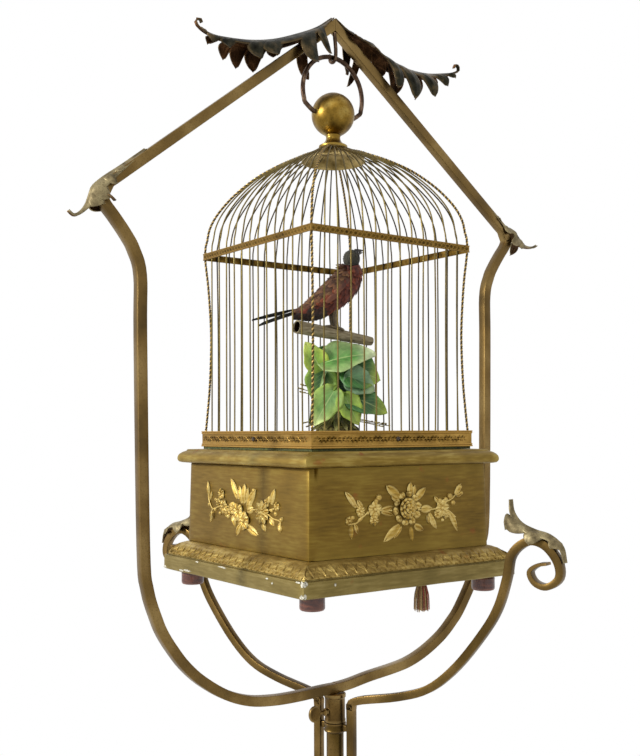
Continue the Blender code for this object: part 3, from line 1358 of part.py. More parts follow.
def fly(on):
    """The air brake: a small pinion and two vanes that keep the song at one speed."""
    low, high = movement_floor(), movement_ceiling()
    vane_low, vane_high = low + 4 * MM, high - 9 * MM
    solids = [
        disc(1.4 * MM, low, high, 8),
        gear(FLY_PINION_TEETH, high - 6 * MM, high - 6 * MM + 2 * WHEEL_SHEET, 0.5),
        block((-FLY_VANE, -0.5 * MM, vane_low), (FLY_VANE, 0.5 * MM, vane_high)),
    ]
    shape = moved(combined(solids), Matrix.Translation((FLY_X, 0, 0)))
    add("fly", shape, "cage_brass", on)


def bellows(fixed, moving):
    """The wooden air chamber, and the pump board hinged along its inner edge."""
    low = RAIL_Z + BOARD_TOP + SEAT
    top = low + BELLOWS_HEIGHT
    half = BELLOWS_WIDTH / 2
    chamber = block((BELLOWS_X, -half, low), (BELLOWS_X + BELLOWS_LENGTH, half, top))
    add("bellows_chamber", chamber, "bellows_leather", fixed)
    board = block((BELLOWS_X, -half, top + SEAT), (BELLOWS_X + BELLOWS_LENGTH, half, top + SEAT + PUMP_BOARD))
    lug = disc(3 * MM, top + 2 * SEAT, top + PUMP_BOARD + 6 * MM, 8, (BELLOWS_X + 0.8 * BELLOWS_LENGTH, 0))
    add("bellows_pump", combined([board, lug]), "bare_wood", moving)


def whistle(fixed, moving):
    """The bird whistle and the piston that slides in it to change its note."""
    low = RAIL_Z + BOARD_TOP + SEAT
    middle = low + WHISTLE_RADIUS + 1 * MM
    start = BELLOWS_X - 30 * MM
    lying = Matrix.Translation((start, WHISTLE_Y, middle)) @ Matrix.Rotation(math.pi / 2, 4, "Y")
    pipe = moved(disc(WHISTLE_RADIUS, 0, WHISTLE_LENGTH, 12), lying)
    foot = block(
        (start + 8 * MM, WHISTLE_Y - 5 * MM, low),
        (start + WHISTLE_LENGTH - 8 * MM, WHISTLE_Y + 5 * MM, middle),
    )
    bore = moved(disc(WHISTLE_BORE, -5 * MM, WHISTLE_LENGTH - 4 * MM, 12), lying)
    add("bird_whistle", combined([combined([pipe, foot]), bore], "DIFFERENCE"), "cage_brass", fixed)
    piston = combined(
        [
            disc(WHISTLE_BORE - RUNNING, 0, 8 * MM, 12),
            disc(1.4 * MM, -PISTON_LENGTH + 16 * MM, 4 * MM, 8),
        ]
    )
    inside = lying @ Matrix.Translation((0, 0, 26 * MM))
    add("whistle_piston", moved(piston, inside), "steel", moving)


def build():
    start_empty()
    stand = pivot("stand_base", (0, 0, 0))
    swivel = pivot("frame_swivel_axis", (0, 0, FERRULE_TOP_Z), stand)
    screw_z = FERRULE_TOP_Z + 0.4 * SOCKET_LENGTH
    screw = pivot("thumb_screw_axis", (-COLUMN_RADIUS, 0, screw_z), swivel)
    swing = pivot("ring_swing_axis", (0, 0, HOOK_SEAT_Z), swivel)
    tilt = pivot("cage_tilt_axis", (0, 0, BALL_Z), swing)

    stand_column(stand)
    scroll_arms(stand)
    leg_spider(stand)
    scroll_leaves(stand)
    lyre_frame(swivel)
    frame_socket(swivel)
    thumb_screw(screw)
    hanging_hook(swivel)
    crest_leaves(swivel)
    shoulder_leaves(swivel)
    hanging_ring(swing)

    finial_ball(tilt)
    crown_plate(tilt)
    grilles(tilt)
    domes(tilt)
    corner_wires(tilt)
    cage_frames(tilt)
    lid_moulding(tilt)
    case_walls(tilt)
    plinth(tilt)
    bottom_board(tilt)
    feet(tilt)
    garlands(tilt)
    pull = tassel_place()
    start_tassel(pivot("start_pull_axis", (pull.x, pull.y, RAIL_Z + PLINTH_BOTTOM), tilt))

    perch_branch(tilt)
    foliage(tilt)
    push_rod(pivot("push_rod_axis", (STEM_X, 0, RAIL_Z), tilt))
    bird_body(tilt)
    neck = pivot("head_turn_axis", bird_frame() @ Vector((NECK_AHEAD, 0, NECK_Z)), tilt)
    bird_head(neck)
    bird_beak(pivot("beak_axis", beak_pivot_place(), neck))
    bird_tail(pivot("tail_axis", tail_pivot_place(), tilt))

    movement_frame(tilt)
    floor = movement_floor()
    spring_barrel(pivot("barrel_axis", (BARREL_X, 0, floor), tilt))
    winding_key(pivot("key_axis", (BARREL_X, 0, RAIL_Z + BOARD_BOTTOM), tilt))
    camshaft(pivot("camshaft_axis", (CAMSHAFT_X, 0, floor), tilt))
    fly(pivot("fly_axis", (FLY_X, 0, floor), tilt))
    bellows_top = RAIL_Z + BOARD_TOP + SEAT + BELLOWS_HEIGHT
    bellows(tilt, pivot("pump_hinge_axis", (BELLOWS_X, 0, bellows_top), tilt))
    whistle(tilt, pivot("piston_axis", (BELLOWS_X, WHISTLE_Y, RAIL_Z + BOARD_TOP), tilt))


build()
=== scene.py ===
# %% [markdown]
# # A singing bird automaton on its stand
# A clockwork bird sings on a branch inside a brass wire cage. The cage stands on a gilded wooden base
# that hides the clockwork, and hangs by a ring in a lyre-shaped brass frame on a floor stand.
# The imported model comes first: it fixes every place and every joint, and each new piece is built on it.

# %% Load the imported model
import math
import random

import bmesh
import bpy
from mathutils import Matrix, Vector, noise


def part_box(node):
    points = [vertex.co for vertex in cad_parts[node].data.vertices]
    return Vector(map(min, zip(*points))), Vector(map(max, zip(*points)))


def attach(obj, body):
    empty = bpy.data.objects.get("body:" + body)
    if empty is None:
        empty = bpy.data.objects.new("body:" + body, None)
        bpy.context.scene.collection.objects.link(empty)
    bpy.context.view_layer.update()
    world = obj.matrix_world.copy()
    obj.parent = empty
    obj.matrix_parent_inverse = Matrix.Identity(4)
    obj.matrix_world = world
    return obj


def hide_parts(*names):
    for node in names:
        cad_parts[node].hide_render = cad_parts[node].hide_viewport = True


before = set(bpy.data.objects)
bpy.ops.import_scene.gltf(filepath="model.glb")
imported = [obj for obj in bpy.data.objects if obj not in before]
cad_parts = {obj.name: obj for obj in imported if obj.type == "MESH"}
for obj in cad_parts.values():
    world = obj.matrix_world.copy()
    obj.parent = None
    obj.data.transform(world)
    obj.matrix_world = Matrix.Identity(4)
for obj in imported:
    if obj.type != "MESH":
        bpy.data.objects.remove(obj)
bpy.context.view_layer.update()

MM = 0.001
RAIL_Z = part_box("rail")[1].z
print("top of the cage's rail:", round(RAIL_Z, 4), "m")

# %% [markdown]
# ## Camera
# The photograph was taken with the camera level with the cage's rail and turned towards the base's near
# corner, so that two sides show. The lens is set so that the base fills as much of the picture as it does
# there, and a small shift brings the crest of the frame to the top edge.

# %% Camera
LENS_MM = 48.08
CAMERA_PLACE = Vector((-0.6574, -0.8822, 1.0))
CAMERA_FORWARD = Vector((0.5868, 0.8098, 0))
CAMERA_ROLL = math.radians(-0.19)

camera = bpy.data.objects.new("camera", bpy.data.cameras.new("camera"))
bpy.context.scene.collection.objects.link(camera)
camera.data.lens = LENS_MM
camera.data.sensor_width = 36
camera.data.shift_x = -0.0008
camera.data.shift_y = 0.0698
camera.data.clip_start = 0.02
camera.location = CAMERA_PLACE
camera.rotation_euler = CAMERA_FORWARD.to_track_quat("-Z", "Y").to_euler()
camera.rotation_euler.rotate_axis("Z", CAMERA_ROLL)
bpy.context.scene.camera = camera
print("the camera stands", round(CAMERA_PLACE.xy.length, 3), "m from the stand's column")

# %% [markdown]
# ## Small helpers for materials
# Colours are written as the hex values that a paint or photo program shows, which are sRGB. Blender
# counts in linear light, so one function turns them. Another adds a node with its settings and links,
# so that each material below reads from top to bottom like a recipe.

# %% Colour and nodes


def linear(hex_colour):
    """An sRGB hex colour as the linear RGBA that Blender's sockets take."""
    parts = [int(hex_colour[i : i + 2], 16) / 255 for i in (1, 3, 5)]
    parts = [p / 12.92 if p <= 0.04045 else ((p + 0.055) / 1.055) ** 2.4 for p in parts]
    return (*parts, 1.0)


def add_node(tree, kind, inputs=None, stops=None, out=0, **settings):
    """Adds one node and returns one of its outputs. An input is a value, a hex colour or an output."""
    made = tree.nodes.new("ShaderNode" + kind)
    for name, value in settings.items():
        setattr(made, name, value)
    for socket, value in (inputs or {}).items():
        if isinstance(value, bpy.types.NodeSocket):
            tree.links.new(value, made.inputs[socket])
        else:
            made.inputs[socket].default_value = linear(value) if isinstance(value, str) else value
    if stops:
        ramp = made.color_ramp.elements
        while len(ramp) < len(stops):
            ramp.new(0.5)
        for element, (position, value) in zip(ramp, stops):
            element.position = position
            element.color = linear(value) if isinstance(value, str) else (value, value, value, 1)
    return made.outputs[out]


def plug(node, **sources):
    """Links outputs to a node's sockets. A space in a socket's name is written as an underscore."""
    for socket, source in sources.items():
        node.id_data.links.new(source, node.inputs[socket.replace("_", " ")])


def new_material(name, colour, metallic=0.0, roughness=0.5, **sockets):
    """A Principled material, its node tree, its shader and the object coordinates."""
    made = bpy.data.materials.new(name)
    made.use_nodes = True
    tree = made.node_tree
    shader = tree.nodes["Principled BSDF"]
    shader.inputs["Base Color"].default_value = linear(colour)
    shader.inputs["Metallic"].default_value = metallic
    shader.inputs["Roughness"].default_value = roughness
    for socket, value in sockets.items():
        value = linear(value) if isinstance(value, str) else value
        shader.inputs[socket.replace("_", " ")].default_value = value
    place = add_node(tree, "TexCoord", out="Object")
    return made, tree, shader, place


def per_mm(size):
    """The scale that gives a noise pattern patches of this size in millimetres."""
    return 1 / (size * MM)


def patchy(name, stops, patch_mm, roughness, relief=None, detail=5.0, stretch=(1.0, 1.0, 1.0), **sockets):
    """A finish in patches of two or three tones. relief is the bump's strength and its depth in mm."""
    made, tree, shader, place = new_material(name, stops[1][1], 0.0, roughness, **sockets)
    drawn = add_node(tree, "Mapping", {"Vector": place, "Scale": stretch})
    patches = add_node(tree, "TexNoise", {"Vector": drawn, "Scale": per_mm(patch_mm), "Detail": detail})
    plug(shader, Base_Color=add_node(tree, "ValToRGB", {"Fac": patches}, stops=stops))
    if relief:
        strength, depth = relief
        bump = add_node(tree, "Bump", {"Height": patches, "Strength": strength, "Distance": depth * MM})
        plug(shader, Normal=bump)
    return made


# %% [markdown]
# ## Small helpers for shapes
# Everything is drawn in millimetres, standing on the floor, on the lyre's lowest bar or on the cage's
# rail, and put in its place at the end. Wires, bars, mouldings and stems are all one flat section drawn
# along a path: the section is a ring of edges that is extruded, and each new ring is carried to its own
# place by a matrix. That keeps every piece a clean tube of quads whose edges can catch the light.

# %% Where things are drawn
LYRE_BASE_MM = 719.95
ON_FLOOR = Matrix.Scale(MM, 4)
ON_LYRE = ON_FLOOR @ Matrix.Translation((0, 0, LYRE_BASE_MM))
ON_RAIL = Matrix.Translation((0, 0, RAIL_Z)) @ ON_FLOOR
QUARTERS = {
    name: Matrix.Rotation(turn * math.pi / 2, 4, "Z")
    for turn, name in enumerate(("front", "right", "back", "left"))
}
UP = Vector((0, 0, 1))
TIPPED = Matrix.Rotation(math.pi / 2, 4, "X")


def level(turn):
    """The level direction at this bearing."""
    return Vector((math.cos(turn), math.sin(turn), 0))


def upright_plane(azimuth=0.0):
    """Turns what is drawn in the XZ plane so that its X axis points this way."""
    return Matrix.Rotation(azimuth, 4, "Z")


# %% Sections, paths and pieces


def round_section(sides):
    """A circle of radius 1 as a ring of points."""
    return [(math.cos(math.tau * i / sides), math.sin(math.tau * i / sides)) for i in range(sides)]


def soft_square(corner=0.2, steps=2):
    """A square of half width 1 with rounded corners."""
    points = []
    for quarter, (x, y) in enumerate(((1, 1), (-1, 1), (-1, -1), (1, -1))):
        for i in range(steps + 1):
            turn = math.pi / 2 * (quarter + i / steps)
            points.append((x - corner * (x - math.cos(turn)), y - corner * (y - math.sin(turn))))
    return points


def smooth_path(route, pieces):
    """A smooth curve through the route's points, with this many pieces between each two."""
    points = [Vector(point) for point in route]
    ends = [2 * points[0] - points[1], *points, 2 * points[-1] - points[-2]]
    path = []
    for a, b, c, d in zip(ends, ends[1:], ends[2:], ends[3:]):
        for i in range(pieces):
            t = i / pieces
            line = 2 * b + (c - a) * t
            bend = (2 * a - 5 * b + 4 * c - d) * t**2 + (3 * b - a - 3 * c + d) * t**3
            path.append((line + bend) / 2)
    return [*path, points[-1]]


def evenly(path, step):
    """The same line with points at even steps along it."""
    path = [Vector(point) for point in path]
    lengths = [0.0]
    for a, b in zip(path, path[1:]):
        lengths.append(lengths[-1] + (b - a).length)
    count = max(2, round(lengths[-1] / step))
    made, at = [], 0
    for i in range(count + 1):
        want = lengths[-1] * i / count
        while at < len(lengths) - 2 and lengths[at + 1] < want:
            at += 1
        made.append(path[at].lerp(path[at + 1], (want - lengths[at]) / (lengths[at + 1] - lengths[at])))
    return made


def along_path(path, sizes, keep=None):
    """Matrices that stand a flat section across a path. keep is a direction that it doesn't leave."""
    path = [Vector(point) for point in path]
    made = []
    across = None
    for i, point in enumerate(path):
        ahead = path[min(i + 1, len(path) - 1)]
        behind = path[max(i - 1, 0)]
        forward = (ahead - behind).normalized()
        if keep is not None:
            across = Vector(keep).cross(forward).normalized()
        elif across is None:
            across = forward.orthogonal().normalized()
        across = (across - forward * across.dot(forward)).normalized()
        turn = Matrix((across, forward.cross(across), forward)).transposed().to_4x4()
        size = sizes[i] if isinstance(sizes, list) else sizes
        wide, deep = size if isinstance(size, tuple) else (size, size)
        made.append(Matrix.Translation(point) @ turn @ Matrix.Diagonal((wide, deep, 1, 1)))
    return made


def sweep(section, stations, closed=False):
    """Draws a flat section through its stations by extruding its edges, and closes the ends."""
    bm = bmesh.new()
    ring = [bm.verts.new(stations[0] @ Vector((x, y, 0))) for x, y in section]
    edges = [bm.edges.new(pair) for pair in zip(ring, ring[1:] + ring[:1])]
    first = list(edges)
    for before, after in zip(stations, stations[1:]):
        made = bmesh.ops.extrude_edge_only(bm, edges=edges)["geom"]
        verts = {v for v in made if isinstance(v, bmesh.types.BMVert)}
        edges = [e for e in made if isinstance(e, bmesh.types.BMEdge) and set(e.verts) <= verts]
        bmesh.ops.transform(bm, matrix=after @ before.inverted(), verts=list(verts))
    if closed:
        bmesh.ops.bridge_loops(bm, edges=first + edges)
    else:
        bmesh.ops.contextual_create(bm, geom=first)
        bmesh.ops.contextual_create(bm, geom=edges)
    return bm


def tube(path, radii, sides=8, keep=None):
    """A round or oval rod along a path."""
    return sweep(round_section(sides), along_path(path, radii, keep))


def saw_off(bm, place, beyond):
    """Takes off what lies beyond a plane, and closes the cut."""
    everything = [*bm.verts, *bm.edges, *bm.faces]
    bmesh.ops.bisect_plane(bm, geom=everything, plane_co=place, plane_no=beyond, clear_outer=True)
    bmesh.ops.holes_fill(bm, edges=[e for e in bm.edges if e.is_boundary], sides=0)
    return bm


def turned(profile, steps, centre=(0, 0, 0)):
    """A piece turned on a lathe about an upright line, from (radius, height) pairs."""
    bm = bmesh.new()
    verts = [bm.verts.new((radius, 0, height)) for radius, height in profile]
    edges = [bm.edges.new(pair) for pair in zip(verts, verts[1:])]
    lathe = dict(cent=(0, 0, 0), axis=(0, 0, 1), angle=math.tau, steps=steps, use_merge=True)
    bmesh.ops.spin(bm, geom=verts + edges, **lathe)
    bmesh.ops.remove_doubles(bm, verts=bm.verts, dist=0.001)
    bmesh.ops.recalc_face_normals(bm, faces=bm.faces)
    bmesh.ops.translate(bm, verts=bm.verts, vec=Vector(centre))
    return bm


def join(bm, part, matrix=None, slot=None):
    """Adds a finished bmesh to another one, moved by the matrix, and lets it go."""
    if matrix is not None:
        bmesh.ops.transform(part, matrix=matrix, verts=part.verts)
    if slot is not None:
        for face in part.faces:
            face.material_index = slot
    bmesh.ops.recalc_face_normals(part, faces=part.faces)
    mesh = bpy.data.meshes.new("part")
    part.to_mesh(mesh)
    part.free()
    bm.from_mesh(mesh)
    bpy.data.meshes.remove(mesh)
    return bm


def piece(name, bm, materials, body, nodes=(), on=ON_RAIL, sharp=None, modifiers=(), normals=True):
    """Turns a bmesh into a named piece on its body. nodes are the CAD nodes that it stands for."""
    bmesh.ops.transform(bm, matrix=on, verts=bm.verts)
    if normals:
        bmesh.ops.recalc_face_normals(bm, faces=bm.faces)
    mesh = bpy.data.meshes.new(name)
    bm.to_mesh(mesh)
    bm.free()
    mesh.shade_smooth()
    if sharp:
        mesh.set_sharp_from_angle(angle=math.radians(sharp))
    for material in materials if isinstance(materials, (list, tuple)) else [materials]:
        mesh.materials.append(material)
    made = bpy.data.objects.new(name, mesh)
    bpy.context.scene.collection.objects.link(made)
    for kind, settings in modifiers:
        added = made.modifiers.new(kind.title(), kind)
        for key, value in settings.items():
            setattr(added, key, value)
    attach(made, body)
    nodes = [nodes] if isinstance(nodes, str) else nodes
    if nodes:
        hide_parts(*nodes)
    print(name + ":", len(mesh.polygons), "faces")
    return made


# %% [markdown]
# ## Metals and gilding
# All the metal here is old brass. Brass is yellow only where it is rubbed: lacquer goes brown, air and
# damp leave it olive, and dirt stays in the hollows. So each brass below is one recipe with other
# colours: broad patches of patina, small specks, and edges that hands have rubbed bright. The edges come
# from Geometry's Pointiness, which is high on outer edges and low in hollows. Metals keep their default
# IOR, and the wear sets the roughness too: rubbed metal is smoother.

# %% Old brass and bronze


def old_metal(name, hollow, patina, rubbed, patch_mm, roughness=0.42, edge=1.0, metallic=1.0, speck=0.5):
    """Metal with a patina in patches, small dark specks, and brighter edges."""
    made, tree, shader, place = new_material(name, patina, metallic, roughness)
    patches = add_node(tree, "TexNoise", {"Vector": place, "Scale": per_mm(patch_mm), "Detail": 5.0})
    tones = add_node(tree, "ValToRGB", {"Fac": patches},
                     stops=[(0.32, hollow), (0.5, patina), (0.72, rubbed)])
    grime = add_node(tree, "TexNoise", {"Vector": place, "Scale": per_mm(1.6), "Detail": 3.0})
    specks = add_node(tree, "ValToRGB", {"Fac": grime}, stops=[(0.3, speck), (0.48, 0.0)])
    spotted = add_node(tree, "Mix", {"Factor": specks, 6: tones, 7: hollow}, data_type="RGBA", out=2)
    shape = add_node(tree, "NewGeometry", out="Pointiness")
    edges = add_node(tree, "ValToRGB", {"Fac": shape}, stops=[(0.52, 0.0), (0.62, edge)])
    worn = add_node(tree, "Mix", {"Factor": edges, 6: spotted, 7: rubbed}, data_type="RGBA", out=2)
    hollows = add_node(tree, "ValToRGB", {"Fac": shape}, stops=[(0.4, 0.75), (0.49, 0.0)])
    aged = add_node(tree, "Mix", {"Factor": hollows, 6: worn, 7: hollow}, data_type="RGBA", out=2)
    plug(shader, Base_Color=aged)
    dull = add_node(tree, "MapRange", {"Value": patches, "From Min": 0.3, "From Max": 0.7,
                                       "To Min": roughness + 0.12, "To Max": roughness - 0.08})
    plug(shader, Roughness=dull)
    bump = add_node(tree, "Bump", {"Height": grime, "Strength": 0.15, "Distance": 0.2 * MM})
    plug(shader, Normal=bump)
    return made


# The stand's brass is the same brown lacquer as the lyre's, painted darker: the extra darkness is painted
# shade.
shaded_stand_brass = old_metal("stand_brass_brown_lacquer_with_painted_shade", "#2f2413", "#57441f", "#8a6f42", 60, 0.38)
lyre_brass = old_metal("lyre_brass_brown_lacquer", "#3f301a", "#67502a", "#947c4e", 60, 0.36)
leaf_bronze = old_metal("crest_leaf_green_black_patina", "#14130d", "#2c2b20", "#65543a", 16, 0.42, 1.0)
# The perch's bore uses this dark brown too, as painted shade.
leaf_inside = old_metal("leaf_inside_tarnish_and_bore_painted_shade", "#1c120c", "#3a2616", "#6d4c30", 18, 0.5, 0.8)
shoulder_brass = old_metal("shoulder_leaf_pale_worn_brass", "#4a4029", "#7f7150", "#a5976f", 12, 0.52, 0.5,
                           metallic=0.7)
shoulder_inside = old_metal("shoulder_leaf_inside_brown", "#4a3527", "#6a5238", "#8e7650", 14, 0.5, 0.5)
ring_brass = old_metal("ring_brown_tarnished_wire", "#1f1510", "#3a2a22", "#7a6450", 9, 0.36)
ball_brass = old_metal("ball_satin_brass", "#4f3d17", "#86692a", "#a8904e", 20, 0.36, 0.6)
wire_brass = old_metal("cage_wire_olive_brass", "#2b2418", "#5a4c2a", "#80703f", 30, 0.42)
# Painted shade: the back and right wires get this near-black copy of the wire brass. The corner wires'
# second strand uses it too.
dark_strand_and_far_side_shade_brass = old_metal("cage_wire_dark_strand_and_far_side_painted_shade", "#15120d", "#2b2520", "#54482f", 30, 0.45)
twist_brass = old_metal("corner_wire_bright_strand", "#4a3818", "#8a6c34", "#b89a5c", 30, 0.4)
plate_brass = old_metal("crown_plate_tan_brass", "#6d5a30", "#a8915a", "#c4ad74", 12, 0.45)
band_brass = old_metal("band_stamped_brass", "#2f210c", "#5f4818", "#8a6c34", 8, 0.45)
rail_brass = old_metal("rail_stamped_brass", "#3f2c0e", "#765820", "#b08c48", 26, 0.42)
iron = old_metal("screw_blackened_steel", "#15110f", "#2c2622", "#5a5048", 3, 0.45)
print("metals:", len(bpy.data.materials))

# %% [markdown]
# The base is wood with gesso and imitation gold laid over a red clay. It was brushed level before it was
# gilded, so the gold shows fine level strokes, and where it is rubbed through the clay shows red at the
# edges and the gesso white in the chips. The strokes are a noise that is stretched along the side.

# %% Gilded wood


def gilding(name, deep, gold, pale, bare=0.5, bump_mm=0.06, dust_and_shade=None):
    """Gold over red clay, with level brush strokes, pale edges and patches, red clay in patches, and hollows
    darkened by dust and painted shade.
    """
    made, tree, shader, place = new_material(name, gold, 0.7, 0.42)
    drawn = add_node(tree, "Mapping", {"Vector": place, "Scale": (0.12, 0.12, 1.0)})
    strokes = add_node(tree, "TexNoise", {"Vector": drawn, "Scale": per_mm(2.2), "Detail": 4.0})
    clouds = add_node(tree, "TexNoise", {"Vector": place, "Scale": per_mm(45), "Detail": 4.0})
    mixed = add_node(tree, "Mix", {0: 0.5, 2: clouds, 3: strokes})
    tones = add_node(tree, "ValToRGB", {"Fac": mixed}, stops=[(0.3, deep), (0.5, gold), (0.72, pale)])
    shape = add_node(tree, "NewGeometry", out="Pointiness")
    edges = add_node(tree, "ValToRGB", {"Fac": shape}, stops=[(0.53, 0.0), (0.62, 0.8)])
    rubbed = add_node(tree, "Mix", {"Factor": edges, 6: tones, 7: pale}, data_type="RGBA", out=2)
    loss = add_node(tree, "TexNoise", {"Vector": place, "Scale": per_mm(17), "Detail": 6.0})
    clay = add_node(tree, "ValToRGB", {"Fac": loss}, stops=[(0.66, 0.0), (0.74, bare)])
    worn = add_node(tree, "Mix", {"Factor": clay, 6: rubbed, 7: "#8a4a1e"}, data_type="RGBA", out=2)
    hollows = add_node(tree, "ValToRGB", {"Fac": shape}, stops=[(0.38, 0.8), (0.48, 0.0)])
    aged = add_node(tree, "Mix", {"Factor": hollows, 6: worn, 7: dust_and_shade or deep}, data_type="RGBA", out=2)
    plug(shader, Base_Color=aged)
    sheen = add_node(tree, "MapRange",
                     {"Value": mixed, "From Min": 0.3, "From Max": 0.7, "To Min": 0.56, "To Max": 0.4})
    plug(shader, Roughness=sheen)
    bump = add_node(tree, "Bump", {"Height": strokes, "Strength": 0.5, "Distance": bump_mm * MM})
    plug(shader, Normal=bump)
    return made


case_gold = gilding("case_brushed_imitation_gold", "#5d470e", "#715716", "#877028")
lid_gold = gilding("lid_gold_rubbed_to_red_clay", "#695216", "#836a26", "#a9944c", bare=0.75)
slope_gold = gilding("plinth_carved_gold_and_dust", "#5d4a1e", "#8a7034", "#cdb46a", dust_and_shade="#38301a")
band_gold = gilding("plinth_band_olive_gold_paint", "#645628", "#7b6a36", "#968550", bare=0.4)
# On the garland the pale edges are rubbed gold and painted highlight, and the near-black hollows are dust
# and painted shade in the creases and gaps.
garland_gold = gilding("garland_pressed_gold_leaf", "#6a4f12", "#b08e3a", "#e0cc86", bare=0.2,
                       dust_and_shade="#2f2108")
print("gilded finishes: 5")

# %% [markdown]
# ## Floor stand
# The stand is a brass tube with two long square rods soldered beside it. Each rod is one bent bar: it
# flares out into a foot, runs up beside the tube and swings out into a scroll. A square section is swept
# along a smooth curve, with its corners a little rounded by the drawing die, and it thins to the tip.

# %% Rods, column and legs
ROD_SIDE = 8.4
ROD_OUT = 21.45
FLOOR_FLAT = ((0, 0, 0.02), -UP)
ARM_AZIMUTH = math.radians(-71)
ARM_BASE = 707.0
FOOT = [(243.7, 27.3), (249.6, 14.3), (232, 3.2), (193, 15.6), (128, 59.8), (47.5, 123.5), (24.1, 182),
        (ROD_OUT, 250)]
RISE = [(ROD_OUT, 290), (ROD_OUT, 667), (ROD_OUT, 700)]
ARM = [(29, 3), (80, 15), (117, 29), (149, 56), (180, 95), (195, 121), (204, 150), (208, 170), (218, 182),
       (231, 187), (245, 182), (256, 168), (257, 153), (245, 144), (233, 147), (228, 157), (236, 164),
       (246, 166)]


def square_bar(route, side, steps=5, tip=None, broad=None):
    """A drawn square bar bent in the XZ plane. With tip it is hammered flat over its last quarter."""
    path = smooth_path([(x, 0, z) for x, z in route], steps)
    thin = [min(1, (len(path) - 1 - i) / (0.22 * len(path))) for i in range(len(path))]
    sizes = [side / 2 if tip is None else ((tip + (side - tip) * t) / 2, (broad + (side - broad) * t) / 2)
             for t in thin]
    return sweep(soft_square(0.16, 2), along_path(path, sizes, (0, 1, 0)))


ARMS = {"front": (ARM_AZIMUTH, 1.0, 1.0), "back": (ARM_AZIMUTH + math.pi, 0.965, 0.925)}


def on_scroll(points, reach, rise, out=0.0, up=0.0):
    """Scroll points above the floor. The back scroll was bent a little closer to the column and lower."""
    return [(ROD_OUT + (r - ROD_OUT) * reach + out, ARM_BASE + h * rise + up) for r, h in points]


for name, (turn, reach, rise) in ARMS.items():
    rod = square_bar(FOOT + RISE + on_scroll(ARM, reach, rise), ROD_SIDE, 5, 2.8, 11.5)
    saw_off(rod, *FLOOR_FLAT)
    piece("scroll_rod_" + name, rod, shaded_stand_brass, "stand", "scroll_arm_" + name,
          ON_FLOOR @ upright_plane(turn), sharp=40)

FERRULE = [(7.55, 60), (9.35, 60), (9.35, 672), (11.4, 673.4), (12.2, 675), (11.6, 676.2), (11.6, 680.6),
           (12.2, 681.6), (11.8, 683), (9.35, 683), (9.35, 709), (8.4, 710), (7.55, 710), (7.55, 60)]
column = turned(FERRULE, 40)
for turn in (ARM_AZIMUTH, ARM_AZIMUTH + math.pi):
    lug = bmesh.new()
    bmesh.ops.create_cube(lug, size=1)
    bmesh.ops.scale(lug, vec=(7.2, 5, 7), verts=lug.verts)
    bmesh.ops.translate(lug, vec=(13.3, 0, 678.5), verts=lug.verts)
    bmesh.ops.bevel(lug, geom=lug.edges[:], offset=1.1, offset_type="OFFSET", segments=3, profile=0.5,
                    affect="EDGES", material=-1)
    join(column, lug, upright_plane(turn))
piece("column_tube_with_ferrule", column, shaded_stand_brass, "stand", "stand_column", ON_FLOOR, sharp=32)

legs = turned([(9.7, 226), (15, 226), (16.6, 227.5), (16.9, 230), (16, 232), (16, 243), (16.9, 245.5),
               (16.6, 248.5), (14.5, 250), (9.7, 250), (9.7, 226)], 40)
for turn in (ARM_AZIMUTH + math.pi / 2, ARM_AZIMUTH - math.pi / 2):
    leg = square_bar(FOOT[:7] + [(17.4, 224), (14.7, 240)], ROD_SIDE, 5)
    join(legs, saw_off(leg, *FLOOR_FLAT), upright_plane(turn))
piece("collar_with_two_legs", legs, shaded_stand_brass, "stand", "leg_spider", ON_FLOOR, sharp=35)

# %% [markdown]
# ## Lyre frame
# The lyre is two bent square bars that meet on the socket and at the apex. Each bar runs a little past
# the middle plane and is then cut off on it with a plane, which gives the true mitre that a maker files.

# %% Lyre bars and socket
BAR_SIDE = 10.2
HALF_WIDTH, APEX = 230.5, 721.0
UPRIGHT_TOP = {"left": 429.0, "right": 443.5}
SHOULDER = {"left": (41.0, 77.0), "right": (39.0, 78.5)}
CORNER = {side: Vector((HALF_WIDTH + out, 0, UPRIGHT_TOP[side] + up)) for side,
          (out, up) in SHOULDER.items()}
SLOPE = {side: (APEX - corner.z) / corner.x for side, corner in CORNER.items()}
BOWL = {
    "left": [(0.07, 0), (0.22, -0.006), (0.354, -0.002), (0.482, 0.021), (0.605, 0.081), (0.724, 0.18),
             (0.803, 0.274), (0.858, 0.364), (0.902, 0.45), (0.932, 0.533), (0.973, 0.695), (0.99, 0.93)],
    "right": [(0.07, 0.008), (0.2, 0.033), (0.352, 0.055), (0.456, 0.079), (0.563, 0.129), (0.672, 0.206),
              (0.747, 0.285), (0.809, 0.37), (0.909, 0.571), (0.958, 0.761), (0.99, 1.0)],
}
BEND = [(0, 0), (0.17, 0.31), (0.36, 0.48), (0.65, 0.68), (0.86, 0.81)]


def lyre_bar(side):
    """One side's bar: a smooth sweep to the shoulder, then a straight gable. The sides differ a little."""
    out, up = SHOULDER[side]
    route = [(-8, 0, 0), *[(HALF_WIDTH * u, 0, 184 * v) for u, v in BOWL[side]],
             (HALF_WIDTH, 0, UPRIGHT_TOP[side] - 60)]
    route += [(HALF_WIDTH + out * u, 0, UPRIGHT_TOP[side] + up * v) for u, v in BEND]
    bend = smooth_path([*route, CORNER[side] - Vector((1.5, 0, 7))], 5)
    gable = [CORNER[side].lerp(Vector((0, 0, APEX)), share) for share in (0.03, 0.06, 0.5, 1.0, 1.03)]
    bar = sweep(soft_square(0.13, 2), along_path([*bend, *gable], BAR_SIDE / 2, (0, 1, 0)))
    return saw_off(bar, (0.15, 0, 0), (-1, 0, 0))


for name, turn in (("right", 0), ("left", math.pi)):
    piece("lyre_bar_bent_" + name, lyre_bar(name), lyre_brass, "lyre_frame", "lyre_bar_" + name,
          ON_LYRE @ upright_plane(turn), sharp=40)

